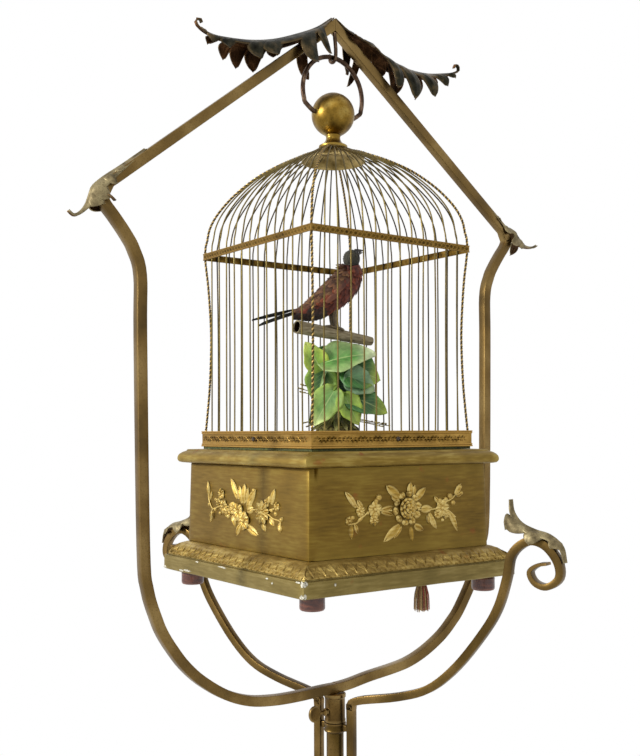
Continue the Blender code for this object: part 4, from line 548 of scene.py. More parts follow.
socket = turned([(9.75, 683.3), (10.95, 683.3), (11.5, 684.2), (11.5, 686.5), (10.95, 687.4), (10.95, 709.5),
                 (11.9, 711), (11.9, 714), (11.2, 714.8), (0, 714.8), (0, 712.4), (9.75, 712.4),
                 (9.75, 683.3)], 40)
piece("socket_sleeve", socket, lyre_brass, "lyre_frame", "frame_socket", ON_FLOOR, sharp=32)

# %% [markdown]
# The thumb screw under the frame clamps the swivel. Its flat oval head is a wire loop flattened under a
# hammer, so it is turned as a disc, squashed to an oval and dished a little on both sides.

# %% Thumb screw
SCREW_Z = 695.6
screw = turned([(0, 11.3), (4.2, 11.3), (4.2, 14), (3.4, 14.8), (2.4, 15.6), (2.1, 16.5), (2.3, 17),
                (2.1, 17.6), (2.3, 18.2), (2.1, 18.8), (2.1, 21.3), (0, 21.3)], 24)
head = turned([(0, -0.9), (4.5, -1.0), (6.2, -1.6), (7.3, -1.4), (7.7, 0), (7.3, 1.4), (6.2, 1.6),
               (4.5, 1.0), (0, 0.9)], 32)
bmesh.ops.scale(head, vec=(1.17, 0.97, 1), verts=head.verts)
join(screw, head, Matrix.Translation((0, 0, 27.3)) @ TIPPED)
lying_left = ON_FLOOR @ Matrix.Translation((0, 0, SCREW_Z)) @ Matrix.Rotation(-math.pi / 2, 4, "Y")
piece("thumb_screw_oval_head", screw, lyre_brass, "screw", "thumb_screw", lying_left, sharp=35)

# %% [markdown]
# ## Acanthus leaves
# The frame's leaves are pressed from sheet brass: a channel with a midrib, and on each side comma-shaped
# lobes that swell towards the leaf's tip and end in a hanging point. The channel and every lobe are
# drawn on one roof shape, which has a width and a drop at each place along the leaf. Each lobe is
# gouged hollow and lies a little over the next, as the pressing tool leaves it. A Solidify modifier
# gives the sheet its thickness, with another material inside, because no polishing cloth reaches there.

# %% The leaf sheet


def between(values, share):
    """The value that lies this far along a list of numbers or vectors, on a smooth curve."""
    at = max(0.0, min(1.0, share)) * (len(values) - 1)
    i = min(int(at), len(values) - 2)
    t = at - i
    a, b, c, d = values[max(i - 1, 0)], values[i], values[i + 1], values[min(i + 2, len(values) - 1)]
    return ((b * 2) + (c - a) * t + (a * 2 - b * 5 + c * 4 - d) * t**2
            + (b * 3 - a - c * 3 + d) * t**3) * 0.5


def on_roof(roof, s, out, lift=0.0):
    """A point of the leaf's roof: s runs from root to tip, out from the midrib (0) to the rim (1)."""
    spine, half_widths, drops = roof
    ahead = (between(spine, s + 0.01) - between(spine, s - 0.01)).normalized()
    above = Vector((-ahead.z, 0, ahead.x)) if ahead.x >= 0 else Vector((ahead.z, 0, -ahead.x))
    turn = abs(out) * math.pi / 2
    side = math.copysign(1, out)
    width = between(half_widths, s) * math.sin(turn) + lift * math.sin(turn)
    drop = between(drops, s) * (1 - math.cos(turn)) - lift * math.cos(turn)
    return between(spine, s) + Vector((0, side * width, 0)) - above * drop


def leaf_sheet(spine, half_widths, drops, lobes, channel=0.42):
    """A leaf in the XZ plane. lobes has one list for the side at +Y and one for the side at -Y.
    Each lobe is (where on the leaf, half its breadth, how long, how far ahead)."""
    spine = evenly(smooth_path([(x, 0, z) for x, z in spine], 6), 3.0)
    roof = (spine, half_widths, drops)
    size = sum((b - a).length for a, b in zip(spine, spine[1:]))
    sheet = bmesh.new()
    bmesh.ops.create_grid(sheet, x_segments=12, y_segments=60, size=0.5)
    for vert in sheet.verts:
        out, s = vert.co.x * 2, 0.5 - vert.co.y
        rib = 0.9 * math.exp(-((out / 0.16) ** 2)) - 0.5 * math.exp(-(((abs(out) - 0.4) / 0.2) ** 2))
        vert.co = on_roof(roof, s, out * channel, rib)
    for side, row in zip((1, -1), lobes):
        for root, half, long, ahead in row:
            lobe = bmesh.ops.create_grid(sheet, x_segments=16, y_segments=10, size=0.5)["verts"]
            for vert in lobe:
                a, b = vert.co.x + 0.5, vert.co.y * 2
                breadth = half * (1 - a ** (3.5 if b > 0 else 2)) ** 0.62
                s = root + (ahead * math.sin(1.9 * a) + b * breadth) / size
                gouge = 1.9 * (0.6 - b * b) * math.sin(math.pi * a) + 1.1 * b * a - 0.4 * (1 - a) ** 2
                gouge += 0.35 * math.cos(3 * math.pi * b) * a * (1 - a) * 3 + 1.6 * a**7
                vert.co = on_roof(roof, s, side * (0.1 + (long - 0.1) * a), gouge)
            if side == 1:
                bmesh.ops.reverse_faces(sheet,
                                        faces=list({face for vert in lobe for face in vert.link_faces}))
    return sheet


LEAF_SHEET = 1.1
SHEET = ("SOLIDIFY",
         {"thickness": LEAF_SHEET * MM, "offset": -1.0, "material_offset": 1, "use_even_offset": False})


def leaf(name, bm, finish, inside, body, node, on):
    """A leaf whose outer side looks up or out, with its thickness on the inside."""
    bm.normal_update()
    if sum(face.normal.z * face.calc_area() for face in bm.faces) < 0:
        bmesh.ops.reverse_faces(bm, faces=bm.faces)
    return piece(name, bm, [finish, inside], body, node, on, modifiers=[SHEET], normals=False)


# %% Crest leaves
CREST = {
    "left": [(22, -7), (48, -20), (77, -32), (106, -39.5), (134, -43), (149, -43.5), (161, -41),
             (168, -36.5), (168, -32.5), (164.5, -31.5), (163, -34.5)],
    "right": [(24, -3), (46, -7), (72, -18), (103, -24.5), (135, -24.5), (165, -18.5), (180, -14),
              (187, -9), (185.5, -4.5), (181.5, -5), (181, -8.5)],
}
CREST_LOBES = {
    "left": ([(0.12, 7, 1.2, 9), (0.18, 14, 1.02, 21), (0.42, 14, 0.74, 18), (0.53, 12, 0.86, 15),
              (0.7, 9, 0.9, 14), (0.8, 7, 1.2, 10), (0.865, 5, 1.0, 7)],
             [(0.03, 6, 1.2, 5), (0.165, 9, 1.3, 14), (0.36, 12, 0.6, 12), (0.485, 13, 0.92, 16),
              (0.61, 10, 1.04, 13), (0.7, 8, 1.1, 11), (0.8, 6, 1.0, 8)]),
    "right": ([(0.11, 8, 1.45, 11), (0.18, 9, 1.31, 18), (0.33, 12, 0.7, 12), (0.45, 11, 0.9, 14),
               (0.58, 10, 1.0, 13), (0.7, 8, 1.1, 11), (0.8, 6, 1.0, 8)],
              [(0.1, 17, 0.55, 4), (0.23, 15, 0.5, 6), (0.345, 9, 1.02, 18), (0.455, 12, 1.1, 18),
               (0.61, 10, 1.13, 15), (0.735, 8, 1.12, 12), (0.83, 5, 1.1, 8)]),
}
for name, turn in (("right", 0), ("left", math.pi)):
    rise = BAR_SIDE / 2 * math.hypot(1, SLOPE[name]) + 1.5
    sheet = leaf_sheet([(x, APEX + z) for x, z in [(1.5, rise), *CREST[name]]],
                       [7, 13, 18, 19, 17, 12, 7.5, 4.5, 3.5], [1.5, 18, 32, 36, 34, 28, 17, 5, 2],
                       CREST_LOBES[name])
    leaf("crest_leaf_pressed_" + name, sheet, leaf_bronze, leaf_inside, "lyre_frame", "crest_leaf_" + name,
         ON_LYRE @ upright_plane(turn))

# %% Shoulder leaves
TONGUE = {
    "left": [(7, 2), (10.5, -6.5), (14, -16), (19, -23), (25, -26.5), (30, -23)],
    "right": [(9, 9), (18, 1), (28, -6.5), (37, -9.5), (46, -9), (52.5, -6)],
}
NEAR_LOBES = [(0.3, 9, 0.62, 1), (0.45, 7, 0.8, 1), (0.58, 12, 1.12, 7), (0.7, 8, 1.05, 5)]
FAR_LOBES = [(0.3, 9, 0.55, 1), (0.46, 8, 0.5, 2), (0.6, 8, 0.7, 4), (0.7, 6, 1.45, 6)]
SHOULDER_LOBES = {"left": (NEAR_LOBES, FAR_LOBES), "right": (FAR_LOBES, NEAR_LOBES)}
for name, turn in (("right", 0), ("left", math.pi)):
    gable = Vector((-1, 0, SLOPE[name])).normalized()
    outward = Vector((gable.z, 0, -gable.x))
    lift = BAR_SIDE / 2 + 1.4
    wrap = [gable * 64 + outward * lift, gable * 32 + outward * lift, gable * 11 + outward * (lift + 0.6)]
    spine = [CORNER[name] + point for point in wrap + [Vector((x, 0, z)) for x, z in TONGUE[name]]]
    sheet = leaf_sheet([(p.x, p.z) for p in spine], [4.5, 6, 7, 8.5, 10, 10, 7.5, 4.5, 3.5],
                       [1.5, 5, 9, 13, 18, 19, 12, 4, 2.5], SHOULDER_LOBES[name], 0.6)
    leaf("shoulder_leaf_pressed_" + name, sheet, shoulder_brass, shoulder_inside, "lyre_frame",
         "shoulder_leaf_" + name, ON_LYRE @ upright_plane(turn))

# %% Scroll leaves
SCROLL_SPINE = [(264, 168), (260.5, 183.1), (248, 193.3), (233, 197.4), (219, 203.6), (211, 214), (209, 226)]
SCROLL_LOBES = [(0.2, 9, 1.0, 3), (0.43, 10, 1.1, 8), (0.62, 11, 1.4, 13)]
for name, (turn, reach, rise) in ARMS.items():
    clear = (0.2, 0.6) if name == "back" else (0, 0)
    sheet = leaf_sheet(on_scroll(SCROLL_SPINE, reach, rise, *clear), [5, 6.5, 9, 10, 9, 6, 4],
                       [3, 6, 9, 11, 10, 7, 4.5], (SCROLL_LOBES, SCROLL_LOBES), 0.62)
    leaf("scroll_leaf_pressed_" + name, sheet, shoulder_brass, shoulder_inside, "stand",
         "scroll_leaf_" + name, ON_FLOOR @ upright_plane(turn))
print("leaves: 6")

# %% [markdown]
# ## Hook, ring and finial
# The cage hangs by a round wire ring whose ends turn into holes in the ball. The ball, its neck and its
# flange are one turned piece, so one profile is spun about the upright line.

# %% Hook and ring
HOOK_TOP, HOOK_SEAT, HOOK_WIRE, HOOK_BEND = 1432.8, 1403.588, 2.1, 5.2
hook_route = [(0, -3.1, HOOK_TOP), (0, -3.1, HOOK_TOP - 2),
              (0, -HOOK_BEND, HOOK_SEAT - HOOK_WIRE + HOOK_BEND + 8)]
for i in range(1, 10):
    turn = math.pi * i / 9
    hook_route.append((0, -HOOK_BEND * math.cos(turn),
                       HOOK_SEAT - HOOK_WIRE + HOOK_BEND * (1 - math.sin(turn))))
hook_route.append((0, 6.0, HOOK_SEAT - HOOK_WIRE + 9.9))
hook_path = smooth_path(hook_route, 3)
hook_sizes = [HOOK_WIRE * (1 - 0.4 * max(0, i / len(hook_path) - 0.85) / 0.15)
              for i in range(len(hook_path))]
piece("hanging_hook_wire", tube(hook_path, hook_sizes, 12), ring_brass, "lyre_frame", "hanging_hook",
      ON_FLOOR, sharp=50)

RING_CENTRE, RING_RADIUS, RING_WIRE, BALL_Z, BALL_RADIUS = 1366.388, 40.0, 2.5, 1343.888, 23.5
foot_turn = -math.asin((22.5 - 1.4 * RING_WIRE) / RING_RADIUS)
arc = [foot_turn + (math.pi - 2 * foot_turn) * i / 40 for i in range(41)]
ring_path = [(RING_RADIUS * math.cos(a), 0, RING_CENTRE + RING_RADIUS * math.sin(a)) for a in arc]
ends = [(19.5, 0, BALL_Z), (25.4, 0, BALL_Z), (27.6, 0, BALL_Z + 0.6)]
ring_path = ends + ring_path[1:-1] + [(-x, y, z) for x, y, z in reversed(ends)]
piece("hanging_ring_wire", tube(smooth_path(ring_path, 2), RING_WIRE, 14), ring_brass, "ring",
      "hanging_ring", ON_FLOOR, sharp=50)

# %% Ball finial
FLANGE_Z = 1307.286
finial_profile = [(0, 0), (15.3, 0), (15.7, 0.8), (15.5, 2.6), (14.6, 3.2), (13.6, 3.6), (11.2, 5.0),
                  (9.0, 7.2), (7.9, 9.8), (7.6, 12.2), (8.2, 13.4), (8.2, 14.2)]
finial_profile = [(r, FLANGE_Z + h) for r, h in finial_profile]
start = math.asin(8.0 / BALL_RADIUS)
for i in range(25):
    turn = start + (math.pi - start) * i / 24
    finial_profile.append((BALL_RADIUS * math.sin(turn), BALL_Z - BALL_RADIUS * math.cos(turn)))
finial = turned(finial_profile, 64)
for side in (-1, 1):
    eye = turned([(2.6, -0.6), (3.3, -0.6), (3.7, 0), (3.3, 0.55), (2.6, 0.55), (2.6, -0.6)], 20)
    join(finial, eye, Matrix.Translation((side * 23.3, 0, BALL_Z)) @ Matrix.Rotation(math.pi / 2, 4, "Y"))
piece("ball_finial", finial, ball_brass, "cage", "finial_ball", ON_FLOOR, sharp=38)

# %% [markdown]
# Under the wires, where they run together, sits a dished plate with a hole cut in the shape of four small
# bows. The bows are the ring's inner edge pulled in and out with a cosine before the sheet gets its
# thickness. It is seen from below, through the wires.

# %% Crown plate
plate_profile = [(12, 1304.0), (14.5, 1304.0), (17, 1303.9), (21, 1302.6), (25.5, 1300.6), (30, 1297.8),
                 (33.2, 1294.6), (34, 1293.3), (34.2, 1292.4)]
crown = turned(plate_profile, 96)
for vert in crown.verts:
    radius, turn = vert.co.xy.length, math.atan2(vert.co.y, vert.co.x)
    if radius < 12.5:
        vert.co.xy *= (9.6 + 2.6 * abs(math.cos(2 * turn)) ** 0.5) / radius
piece("crown_plate_pierced", crown, plate_brass, "cage", "crown_plate", ON_FLOOR, normals=False,
      modifiers=[("SOLIDIFY", {"thickness": 0.9 * MM, "offset": 0.0})])

# %% [markdown]
# ## The wires
# Twelve plain wires on each side stand in the rail, run up through the band and bend over into the dome.
# They were straightened by hand, so each one wanders a little. On the two far sides they are painted
# nearly black, which is painted shade. One wire is one tube from the rail to the crown, and each side
# is drawn as the front and then turned by its quarters.

# %% Plain wires
WIRE, WIRE_HALF, FLOOR_TOP, BAND_Z, BAND_TOP = 0.8, 102.3, -1.2, 189.6, 197.0
WIRES_PER_SIDE = 12
DOME = [(103.6, 0), (103.3, 7), (102, 14), (100.6, 24), (98, 33), (94, 42), (88, 52), (80, 63), (70, 74),
        (60, 83.2), (49, 91), (39, 97), (29, 102), (20, 106.3)]


def dome_points(share, start=WIRE_HALF, across=1.0):
    """Where a wire at this share of the side runs, from the band over the dome to the crown."""
    scale = start / 103.6
    return [(share * half * scale * across, -half * scale, BAND_TOP + height) for half, height in DOME]


random.seed(31)
for name, quarter in QUARTERS.items():
    wires = bmesh.new()
    for i in range(WIRES_PER_SIDE):
        share = -1 + 2 * (i + 1) / (WIRES_PER_SIDE + 1)
        drift, bow = random.uniform(-0.9, 0.9), random.uniform(-1.1, 1.1)
        foot = [(share * WIRE_HALF + drift * (1 - h) + bow * math.sin(math.pi * h), -WIRE_HALF,
                 FLOOR_TOP + (BAND_Z - FLOOR_TOP) * h)
                for h in (0, 0.12, 0.3, 0.5, 0.7, 0.88, 1)]
        end = Vector((share * 15.5, -15.5, 0)).normalized() * 14.2
        top = [(end.x * 1.16, end.y * 1.16, 306.0), (end.x, end.y, 306.1)]
        lean = random.uniform(-0.8, 0.8)
        dome = [(x + lean * math.sin(math.pi * k / 13), y, z)
                for k, (x, y, z) in enumerate(dome_points(share))]
        join(wires, tube(smooth_path(foot + dome + top, 2), WIRE, 7))
    # The far sides, back and right, are painted near black as painted shade.
    finish = wire_brass if name in ("front", "left") else dark_strand_and_far_side_shade_brass
    piece("wires_" + name, wires, finish, "cage", ["grille_" + name, "dome_" + name], ON_RAIL @ quarter,
          sharp=60)

# %% [markdown]
# The four corner wires are a bright and a black strand twisted together, one turn in 5.2 mm. Each strand
# is a thin tube along a spiral round the wire's own path. They bow in a little between the rail and the
# band.

# %% Twisted corner wires
TWIST_PITCH, STRAND, STRAND_OFF = 5.2, 0.8, 0.66
CORNER_HALF = 101.85
corner_route = []
for share, bow in ((0, 0), (0.12, 0.36), (0.25, 0.7), (0.4, 0.92), (0.55, 1), (0.7, 0.82), (0.85, 0.5),
                   (1, 0)):
    half = CORNER_HALF - 4.5 * bow
    corner_route.append((half, half, FLOOR_TOP + (BAND_Z - FLOOR_TOP) * share))
corner_route += [(-y, -y, z) for _, y, z in dome_points(1, CORNER_HALF)][1:]
corner_route.append((9.9, 9.9, 305.6))
line = evenly(smooth_path(corner_route, 6), TWIST_PITCH / 8)
along = along_path(line, 1.0)
corners = turned([(12.8, 305.3), (13.4, 304.3), (14.6, 304.3), (15.2, 305.3), (14.6, 306.3), (13.4, 306.3),
                  (12.8, 305.3)], 48)
for name, quarter in QUARTERS.items():
    for strand in (0, math.pi):
        twist = [at @ (level(strand + math.tau * i / 8) * STRAND_OFF) for i, at in enumerate(along)]
        join(corners, tube(twist, STRAND, 6), quarter, slot=1 if strand else 0)
piece("corner_wires_twisted", corners, [twist_brass, dark_strand_and_far_side_shade_brass], "cage", "corner_wires", ON_RAIL, sharp=60)

# %% [markdown]
# ## Band and rail
# The band and the rail are brass strip that was rolled with a raised pattern and bent round the cage. The
# ribs are in the strip's own profile, which is drawn round a square. The pattern between them is real
# relief: a wavy stem with a leaf in each bend on the rail, and small lozenges with beads on the band.

# %% Square mouldings


def square_ring(profile, steps=1, closed=True):
    """A moulding round the square cage, from (half width, height) pairs, with steps along each side."""
    side = [(-1 + 2 * i / steps, -1) for i in range(steps)]
    section = [tuple(QUARTERS[name] @ Vector((x, y, 0)))[:2] for name in QUARTERS for x, y in side]
    stations = [Matrix.Translation((0, 0, height)) @ Matrix.Diagonal((half, half, 1, 1))
                for half, height in profile]
    return sweep(section, stations, closed=closed)


def lozenge(long, tall, high, sides=8):
    """A small raised boss on a strip that faces -Y: an oval that is lowest at its rim."""
    bm = bmesh.new()
    bmesh.ops.create_circle(bm, segments=sides, radius=1, cap_ends=True)
    rim = bm.faces[:]
    bmesh.ops.inset_region(bm, faces=rim, thickness=0.45, depth=0)
    top = {v for face in rim if face.is_valid for v in face.verts}
    for vert in top:
        vert.co.z = -1
    stand = Matrix.Diagonal((long, high, tall, 1)) @ TIPPED
    bmesh.ops.transform(bm, matrix=stand @ Matrix.Scale(-1, 4, (0, 0, 1)), verts=bm.verts)
    return bm


def stamp(into, shape, matrix):
    """Presses a copy of a small shape into a bigger mesh."""
    join(into, shape.copy(), matrix)


BAND_FACE, BAND_PITCH = 103.5, 5.55
ribs = [(103.45, 0), (103.9, 0.25), (103.95, 0.7), (103.6, 1.1), (103.5, 1.3), (103.5, 6.1), (103.6, 6.3),
        (103.95, 6.7), (103.9, 7.15), (103.45, 7.4), (103.2, 7.4), (103.2, 0)]
band = square_ring([(half, BAND_Z + height) for half, height in ribs], 1)
diamond = lozenge(2.1, 1.75, 0.45, 4)
bead = lozenge(0.62, 0.62, 0.4, 6)
for name, quarter in QUARTERS.items():
    for i in range(-18, 19):
        x = i * BAND_PITCH
        stamp(band, diamond, quarter @ Matrix.Translation((x, -BAND_FACE, BAND_Z + 3.7)))
        for z in (1.9, 5.5):
            if i < 18:
                stamp(band, bead, quarter @ Matrix.Translation((x + BAND_PITCH / 2, -BAND_FACE, BAND_Z + z)))
piece("band_with_lozenges", band, band_brass, "cage", "mid_band", ON_RAIL, sharp=30)

# %% Rail with its vine
RAIL_FACE, RAIL_MIDDLE, VINE_PITCH = 104.75, -8.35, 19.0
rail_ribs = [(104.0, 0), (105.0, 0), (105.5, -0.3), (105.55, -1.0), (105.1, -1.4), (105.1, -1.7),
             (105.45, -2.0), (105.45, -2.6), (104.9, -3.1), (104.75, -3.5), (104.75, -13.2), (104.9, -13.6),
             (105.45, -14.1), (105.45, -14.7), (105.1, -15.0), (105.1, -15.3), (105.6, -15.7),
             (105.6, -16.7), (105.3, -17), (104.0, -17)]
rail = square_ring(rail_ribs, 1)
vine = bmesh.new()
stem = [(-98 + 2 * i, 0, 2.5 * math.sin(math.tau * (-98 + 2 * i) / VINE_PITCH)) for i in range(99)]
join(vine, tube(stem, (0.42, 0.5), 5, (0, 1, 0)))
vine_leaf = lozenge(1.5, 0.8, 0.6, 6)
berry = lozenge(0.65, 0.65, 0.5, 6)
for i in range(41):
    x = -97.5 + i * VINE_PITCH / 4
    wave = math.sin(math.tau * x / VINE_PITCH)
    if abs(wave) > 0.5:
        up = -math.copysign(1, wave)
        for dx, dz, lean in ((0, 2.0, 90), (-2.1, 1.0, 150), (2.1, 1.0, 30), (-3.2, -1.3, 200),
                             (3.2, -1.3, -20)):
            at = Matrix.Translation((x + dx, 0, up * dz)) @ Matrix.Rotation(-up * math.radians(lean), 4, "Y")
            stamp(vine, vine_leaf, at)
    else:
        for dz in (-3.4, 3.4):
            stamp(vine, berry, Matrix.Translation((x, 0, dz)))
for name, quarter in QUARTERS.items():
    stamp(rail, vine, quarter @ Matrix.Translation((0, -RAIL_FACE, RAIL_MIDDLE)))
vine.free()
piece("rail_with_vine", rail, rail_brass, "cage", "rail", ON_RAIL, sharp=30)

# %% Rail screws
screws = bmesh.new()
screw_head = turned([(0, 0), (2.5, 0), (2.5, 0.5), (1.9, 1.2), (0.9, 1.55), (0, 1.6)], 20)
slot_cut = bmesh.new()
bmesh.ops.create_cube(slot_cut, size=1)
bmesh.ops.scale(slot_cut, vec=(4.0, 0.55, 0.5), verts=slot_cut.verts)
join(screw_head, slot_cut, Matrix.Translation((0, 0, 1.25)) @ Matrix.Rotation(0.5, 4, "Z"))
for name, quarter in QUARTERS.items():
    stamp(screws, screw_head,
          quarter @ Matrix.Translation((2.2, 0.05 - RAIL_FACE, RAIL_MIDDLE - 0.05)) @ TIPPED)
piece("rail_screws", screws, iron, "cage", sharp=30)

# %% [markdown]
# ## Gilt base
# The lid, the case and the plinth are planed wooden mouldings, mitred at the corners. Each is a profile
# drawn round a square, with many steps along the sides so that old wood may wander a little: a broad
# noise moves every point by a few tenths of a millimetre. It is seeded, or it would differ with the clock.
# The edges near the corners are rubbed round.

# %% Lid, case and plinth
noise.seed_set(31)


def settle(bm, amount, patch, corner=0.0):
    """Lets old wood wander: a smooth noise moves the points, and the mitred corners wear back."""
    for vert in bm.verts:
        at = vert.co / patch
        vert.co += noise.noise_vector(at) * amount
        worst = min(abs(vert.co.x), abs(vert.co.y)) / max(abs(vert.co.x), abs(vert.co.y), 1)
        if corner and worst > 0.985:
            vert.co.xy *= 1 - corner / 100 * (worst - 0.985) / 0.015
    return bm


LID = [(103, -19.9), (117.0, -19.9), (117.5, -20.4), (118.2, -21.6), (120.6, -22.6), (121.6, -23.2),
       (123.6, -24.8), (124.9, -26.7), (125.5, -29.0), (125.5, -31.0), (124.9, -32.7), (123.6, -34.0),
       (121, -34.6), (117.5, -34.9), (103, -35)]
lid = settle(square_ring(LID, 40), 0.25, 37, 0.35)
piece("lid_nosing", lid, lid_gold, "cage", "lid_moulding", ON_RAIL, sharp=50)

CASE = [(104, -35.3), (114.4, -35.3), (114.9, -57), (115.4, -78.5), (115.9, -100), (116.4, -121.8),
        (104, -121.8)]
case = settle(square_ring(CASE, 40), 0.2, 51, 0.25)
case_edges = [e for e in case.edges if e.calc_face_angle(0) > 1.2 and abs(e.verts[0].co.x) > 113]
bmesh.ops.bevel(case, geom=case_edges, offset=0.8, offset_type="OFFSET", segments=2, profile=0.5,
                affect="EDGES", material=-1)
piece("case_walls_gilded", case, case_gold, "cage", "case_walls", ON_RAIL, sharp=50)

PLINTH = [(100, -122.1), (117.9, -122.1), (120.2, -122.9), (123.2, -124.5), (126.3, -126.8),
          (129.4, -129.4), (132.0, -132.0), (133.6, -134.4), (134.0, -135.6), (133.2, -136.2),
          (133.4, -136.9), (135.4, -137.2), (136.3, -137.7), (136.5, -138.6), (136.6, -145.5),
          (136.6, -152.2), (136.0, -152.9), (100, -152.9)]
plinth = settle(square_ring(PLINTH, 64), 0.3, 43, 0.3)
for vert in plinth.verts:
    near = (vert.co - Vector((-135.5, -135.5, -139))).length
    if near < 11:
        vert.co += Vector((0.9, 0.9, 0)) * (1 - near / 11) * (1 + noise.noise(vert.co / 2.5) * 1.6)
for face in plinth.faces:
    face.material_index = 1 if face.calc_center_median().z < -136.3 else 0

# %% [markdown]
# On the plinth's slope a row of small leaves is carved, with a pointed dart between two of them. One leaf
# and one dart are shaped once and then set side by side along the four slopes. The CAD has a plain slope
# here, because carving this fine is left to the looks.

# %% Carved leaves on the slope


def carved_leaf(long, wide, high, ribs=2):
    """A raised leaf that lies along -Y with its base at the origin and its tip bent over the edge."""
    bm = bmesh.new()
    bmesh.ops.create_grid(bm, x_segments=8, y_segments=7, size=0.5)
    for vert in bm.verts:
        across, down = vert.co.x * 2, 0.5 - vert.co.y
        half = wide / 2 * math.sin(math.pi * min(1, 0.1 + 0.9 * down)) ** 0.6
        rib = 0.22 * math.cos(across * math.pi * ribs)
        crown = max(0.0, 1 - across**2) ** 0.6
        vert.co = Vector((across * half, -down * long,
                          high * crown * (0.35 + 0.75 * down + rib * down) - 0.5))
    return bm


SLOPE_PITCH = 12.4
motif = bmesh.new()
join(motif, carved_leaf(13.5, 6.2, 2.0, 2))
for side in (-1, 1):
    flick = Matrix.Translation((side * 4.3, -5.0, 0)) @ Matrix.Rotation(side * 0.75, 4, "Z")
    join(motif, carved_leaf(8.5, 2.9, 1.7, 1), flick)
    curl = Matrix.Translation((side * 6.2, -9.5, -0.2)) @ Matrix.Rotation(side * 0.2, 4, "Z")
    join(motif, carved_leaf(4.6, 2.6, 1.5, 1), curl)


def on_slope(x, y, z):
    """Lays a point of the flat drawing on the rounded slope: y runs down the slope, z stands off it."""
    s = -y / 14.0
    run = 119.4 + 14.9 * s
    fall = -123.2 - 4.8 * s - 7.6 * s**2
    slope = math.atan2(4.8 + 15.2 * s, 14.9)
    return Vector((x, -(run + z * math.sin(slope)), fall + z * math.cos(slope)))


for name, quarter in QUARTERS.items():
    for i in range(-10, 11):
        row = motif.copy()
        for vert in row.verts:
            vert.co = on_slope(vert.co.x + i * SLOPE_PITCH * (0.995 + 0.01 * math.sin(i)), vert.co.y,
                               vert.co.z)
            limit = abs(vert.co.y) - 0.6
            vert.co.x = max(-limit, min(limit, vert.co.x))
        join(plinth, row, quarter)
motif.free()

# %% [markdown]
# Where the plinth was knocked, the paint is off and the white gesso under it shows, most of it along the
# left side's edges and at the broken near corner. Each chip is a thin ragged flake on the surface.

# %% Chips down to the gesso
gesso = patchy("gesso_white_chipped", [(0.35, "#6f6a58"), (0.55, "#cfcab8")], 1.5, 0.9)
PLINTH_FACE = 136.55
CHIPS = [("left", 94, -151, 5, 0.9), ("left", 82, -150, 7, 1.1), ("left", 8, -138.4, 7, 0.8),
         ("left", -76, -140, 2, 0.8), ("left", -85, -143.5, 1.6, 0.9), ("left", 60, -138.3, 3, 0.6),
         ("front", -101, -142, 1, 1.6), ("left", 133, -151, 3, 1.4), ("left", -134.5, -139, 2.4, 2.6),
         ("front", -134.5, -138.5, 2.6, 2.8), ("left", -134, -150.5, 3, 1.8),
         ("front", -135, -150, 1.6, 2.4), ("left", -128, -137.8, 4, 0.8)]
for k, (side, along, height, long, tall) in enumerate(CHIPS):
    flake = bmesh.new()
    bmesh.ops.create_circle(flake, segments=14, radius=1, cap_ends=True)
    for vert in flake.verts:
        ragged = 1 + 0.45 * noise.noise(vert.co * 1.7 + Vector((k * 3.7, 0, 0)))
        vert.co = Vector((vert.co.x * long, 0, vert.co.y * tall)) * ragged
    raised = bmesh.ops.extrude_face_region(flake, geom=flake.faces[:])["geom"]
    bmesh.ops.translate(flake, vec=(0, -0.4, 0),
                        verts=[v for v in raised if isinstance(v, bmesh.types.BMVert)])
    where = (along if side == "front" else -along, -PLINTH_FACE, height)
    join(plinth, flake, QUARTERS[side] @ Matrix.Translation(where), slot=2)
print("chips:", len(CHIPS))
piece("plinth_carved", plinth, [slope_gold, band_gold, gesso], "cage", "plinth", ON_RAIL, sharp=40)

# %% [markdown]
# The four feet are turned from wood and stained red-brown, with a lighter ring where the stain rubbed off.

# %% Feet
foot_wood = patchy("feet_red_brown_stained_wood", [(0.3, "#33120a"), (0.5, "#4f2414"), (0.7, "#6d3a22")],
                   2.4, 0.42, (0.3, 0.15), stretch=(0.25, 0.25, 1.0), Coat_Weight=0.3)
tree = foot_wood.node_tree
shader = tree.nodes["Principled BSDF"]
stain = shader.inputs["Base Color"].links[0].from_socket
shape = add_node(tree, "NewGeometry", out="Pointiness")
edges = add_node(tree, "ValToRGB", {"Fac": shape}, stops=[(0.52, 0.0), (0.6, 0.8)])
plug(shader,
     Base_Color=add_node(tree, "Mix", {"Factor": edges, 6: stain, 7: "#8e5a42"}, data_type="RGBA", out=2))

FOOT_AT, NEAR_FOOT_AT, FOOT_TOP = 113.0, 104.0, -153.2
FOOT_PROFILE = [(0, -16.7), (9.6, -16.7), (11.2, -16.2), (12.1, -15.0), (12.3, -13.4), (12.2, -6),
                (12.35, -4.4), (12.3, -3.4), (11.7, -2.7), (11.6, -2.2), (12.0, -1.7), (12.0, -0.6),
                (11.3, 0), (0, 0)]
for name, x, y in (("front_left", -1, -1), ("front_right", 1, -1), ("back_left", -1, 1),
                   ("back_right", 1, 1)):
    at = NEAR_FOOT_AT if name == "front_left" else FOOT_AT
    foot = turned(FOOT_PROFILE, 48, (x * at, y * at, FOOT_TOP))
    piece("foot_turned_" + name, foot, foot_wood, "cage", "foot_" + name, ON_RAIL, sharp=40)

# %% [markdown]
# ## Garlands
# A garland of pressed and gilded composition is glued on each side of the case. It is built lying flat:
# X runs along the wall, Y up the wall and Z off it. Every petal and leaf is the same crowned shape with
# another length, width and height, closed at its back, and a crease down its middle catches the light.
# The front's rose spray and the left side's longer leaves are drawn one by one. The photograph doesn't
# show the right side and the back, which get the same two sprays mirrored.

# %% Petals, blossoms and stems


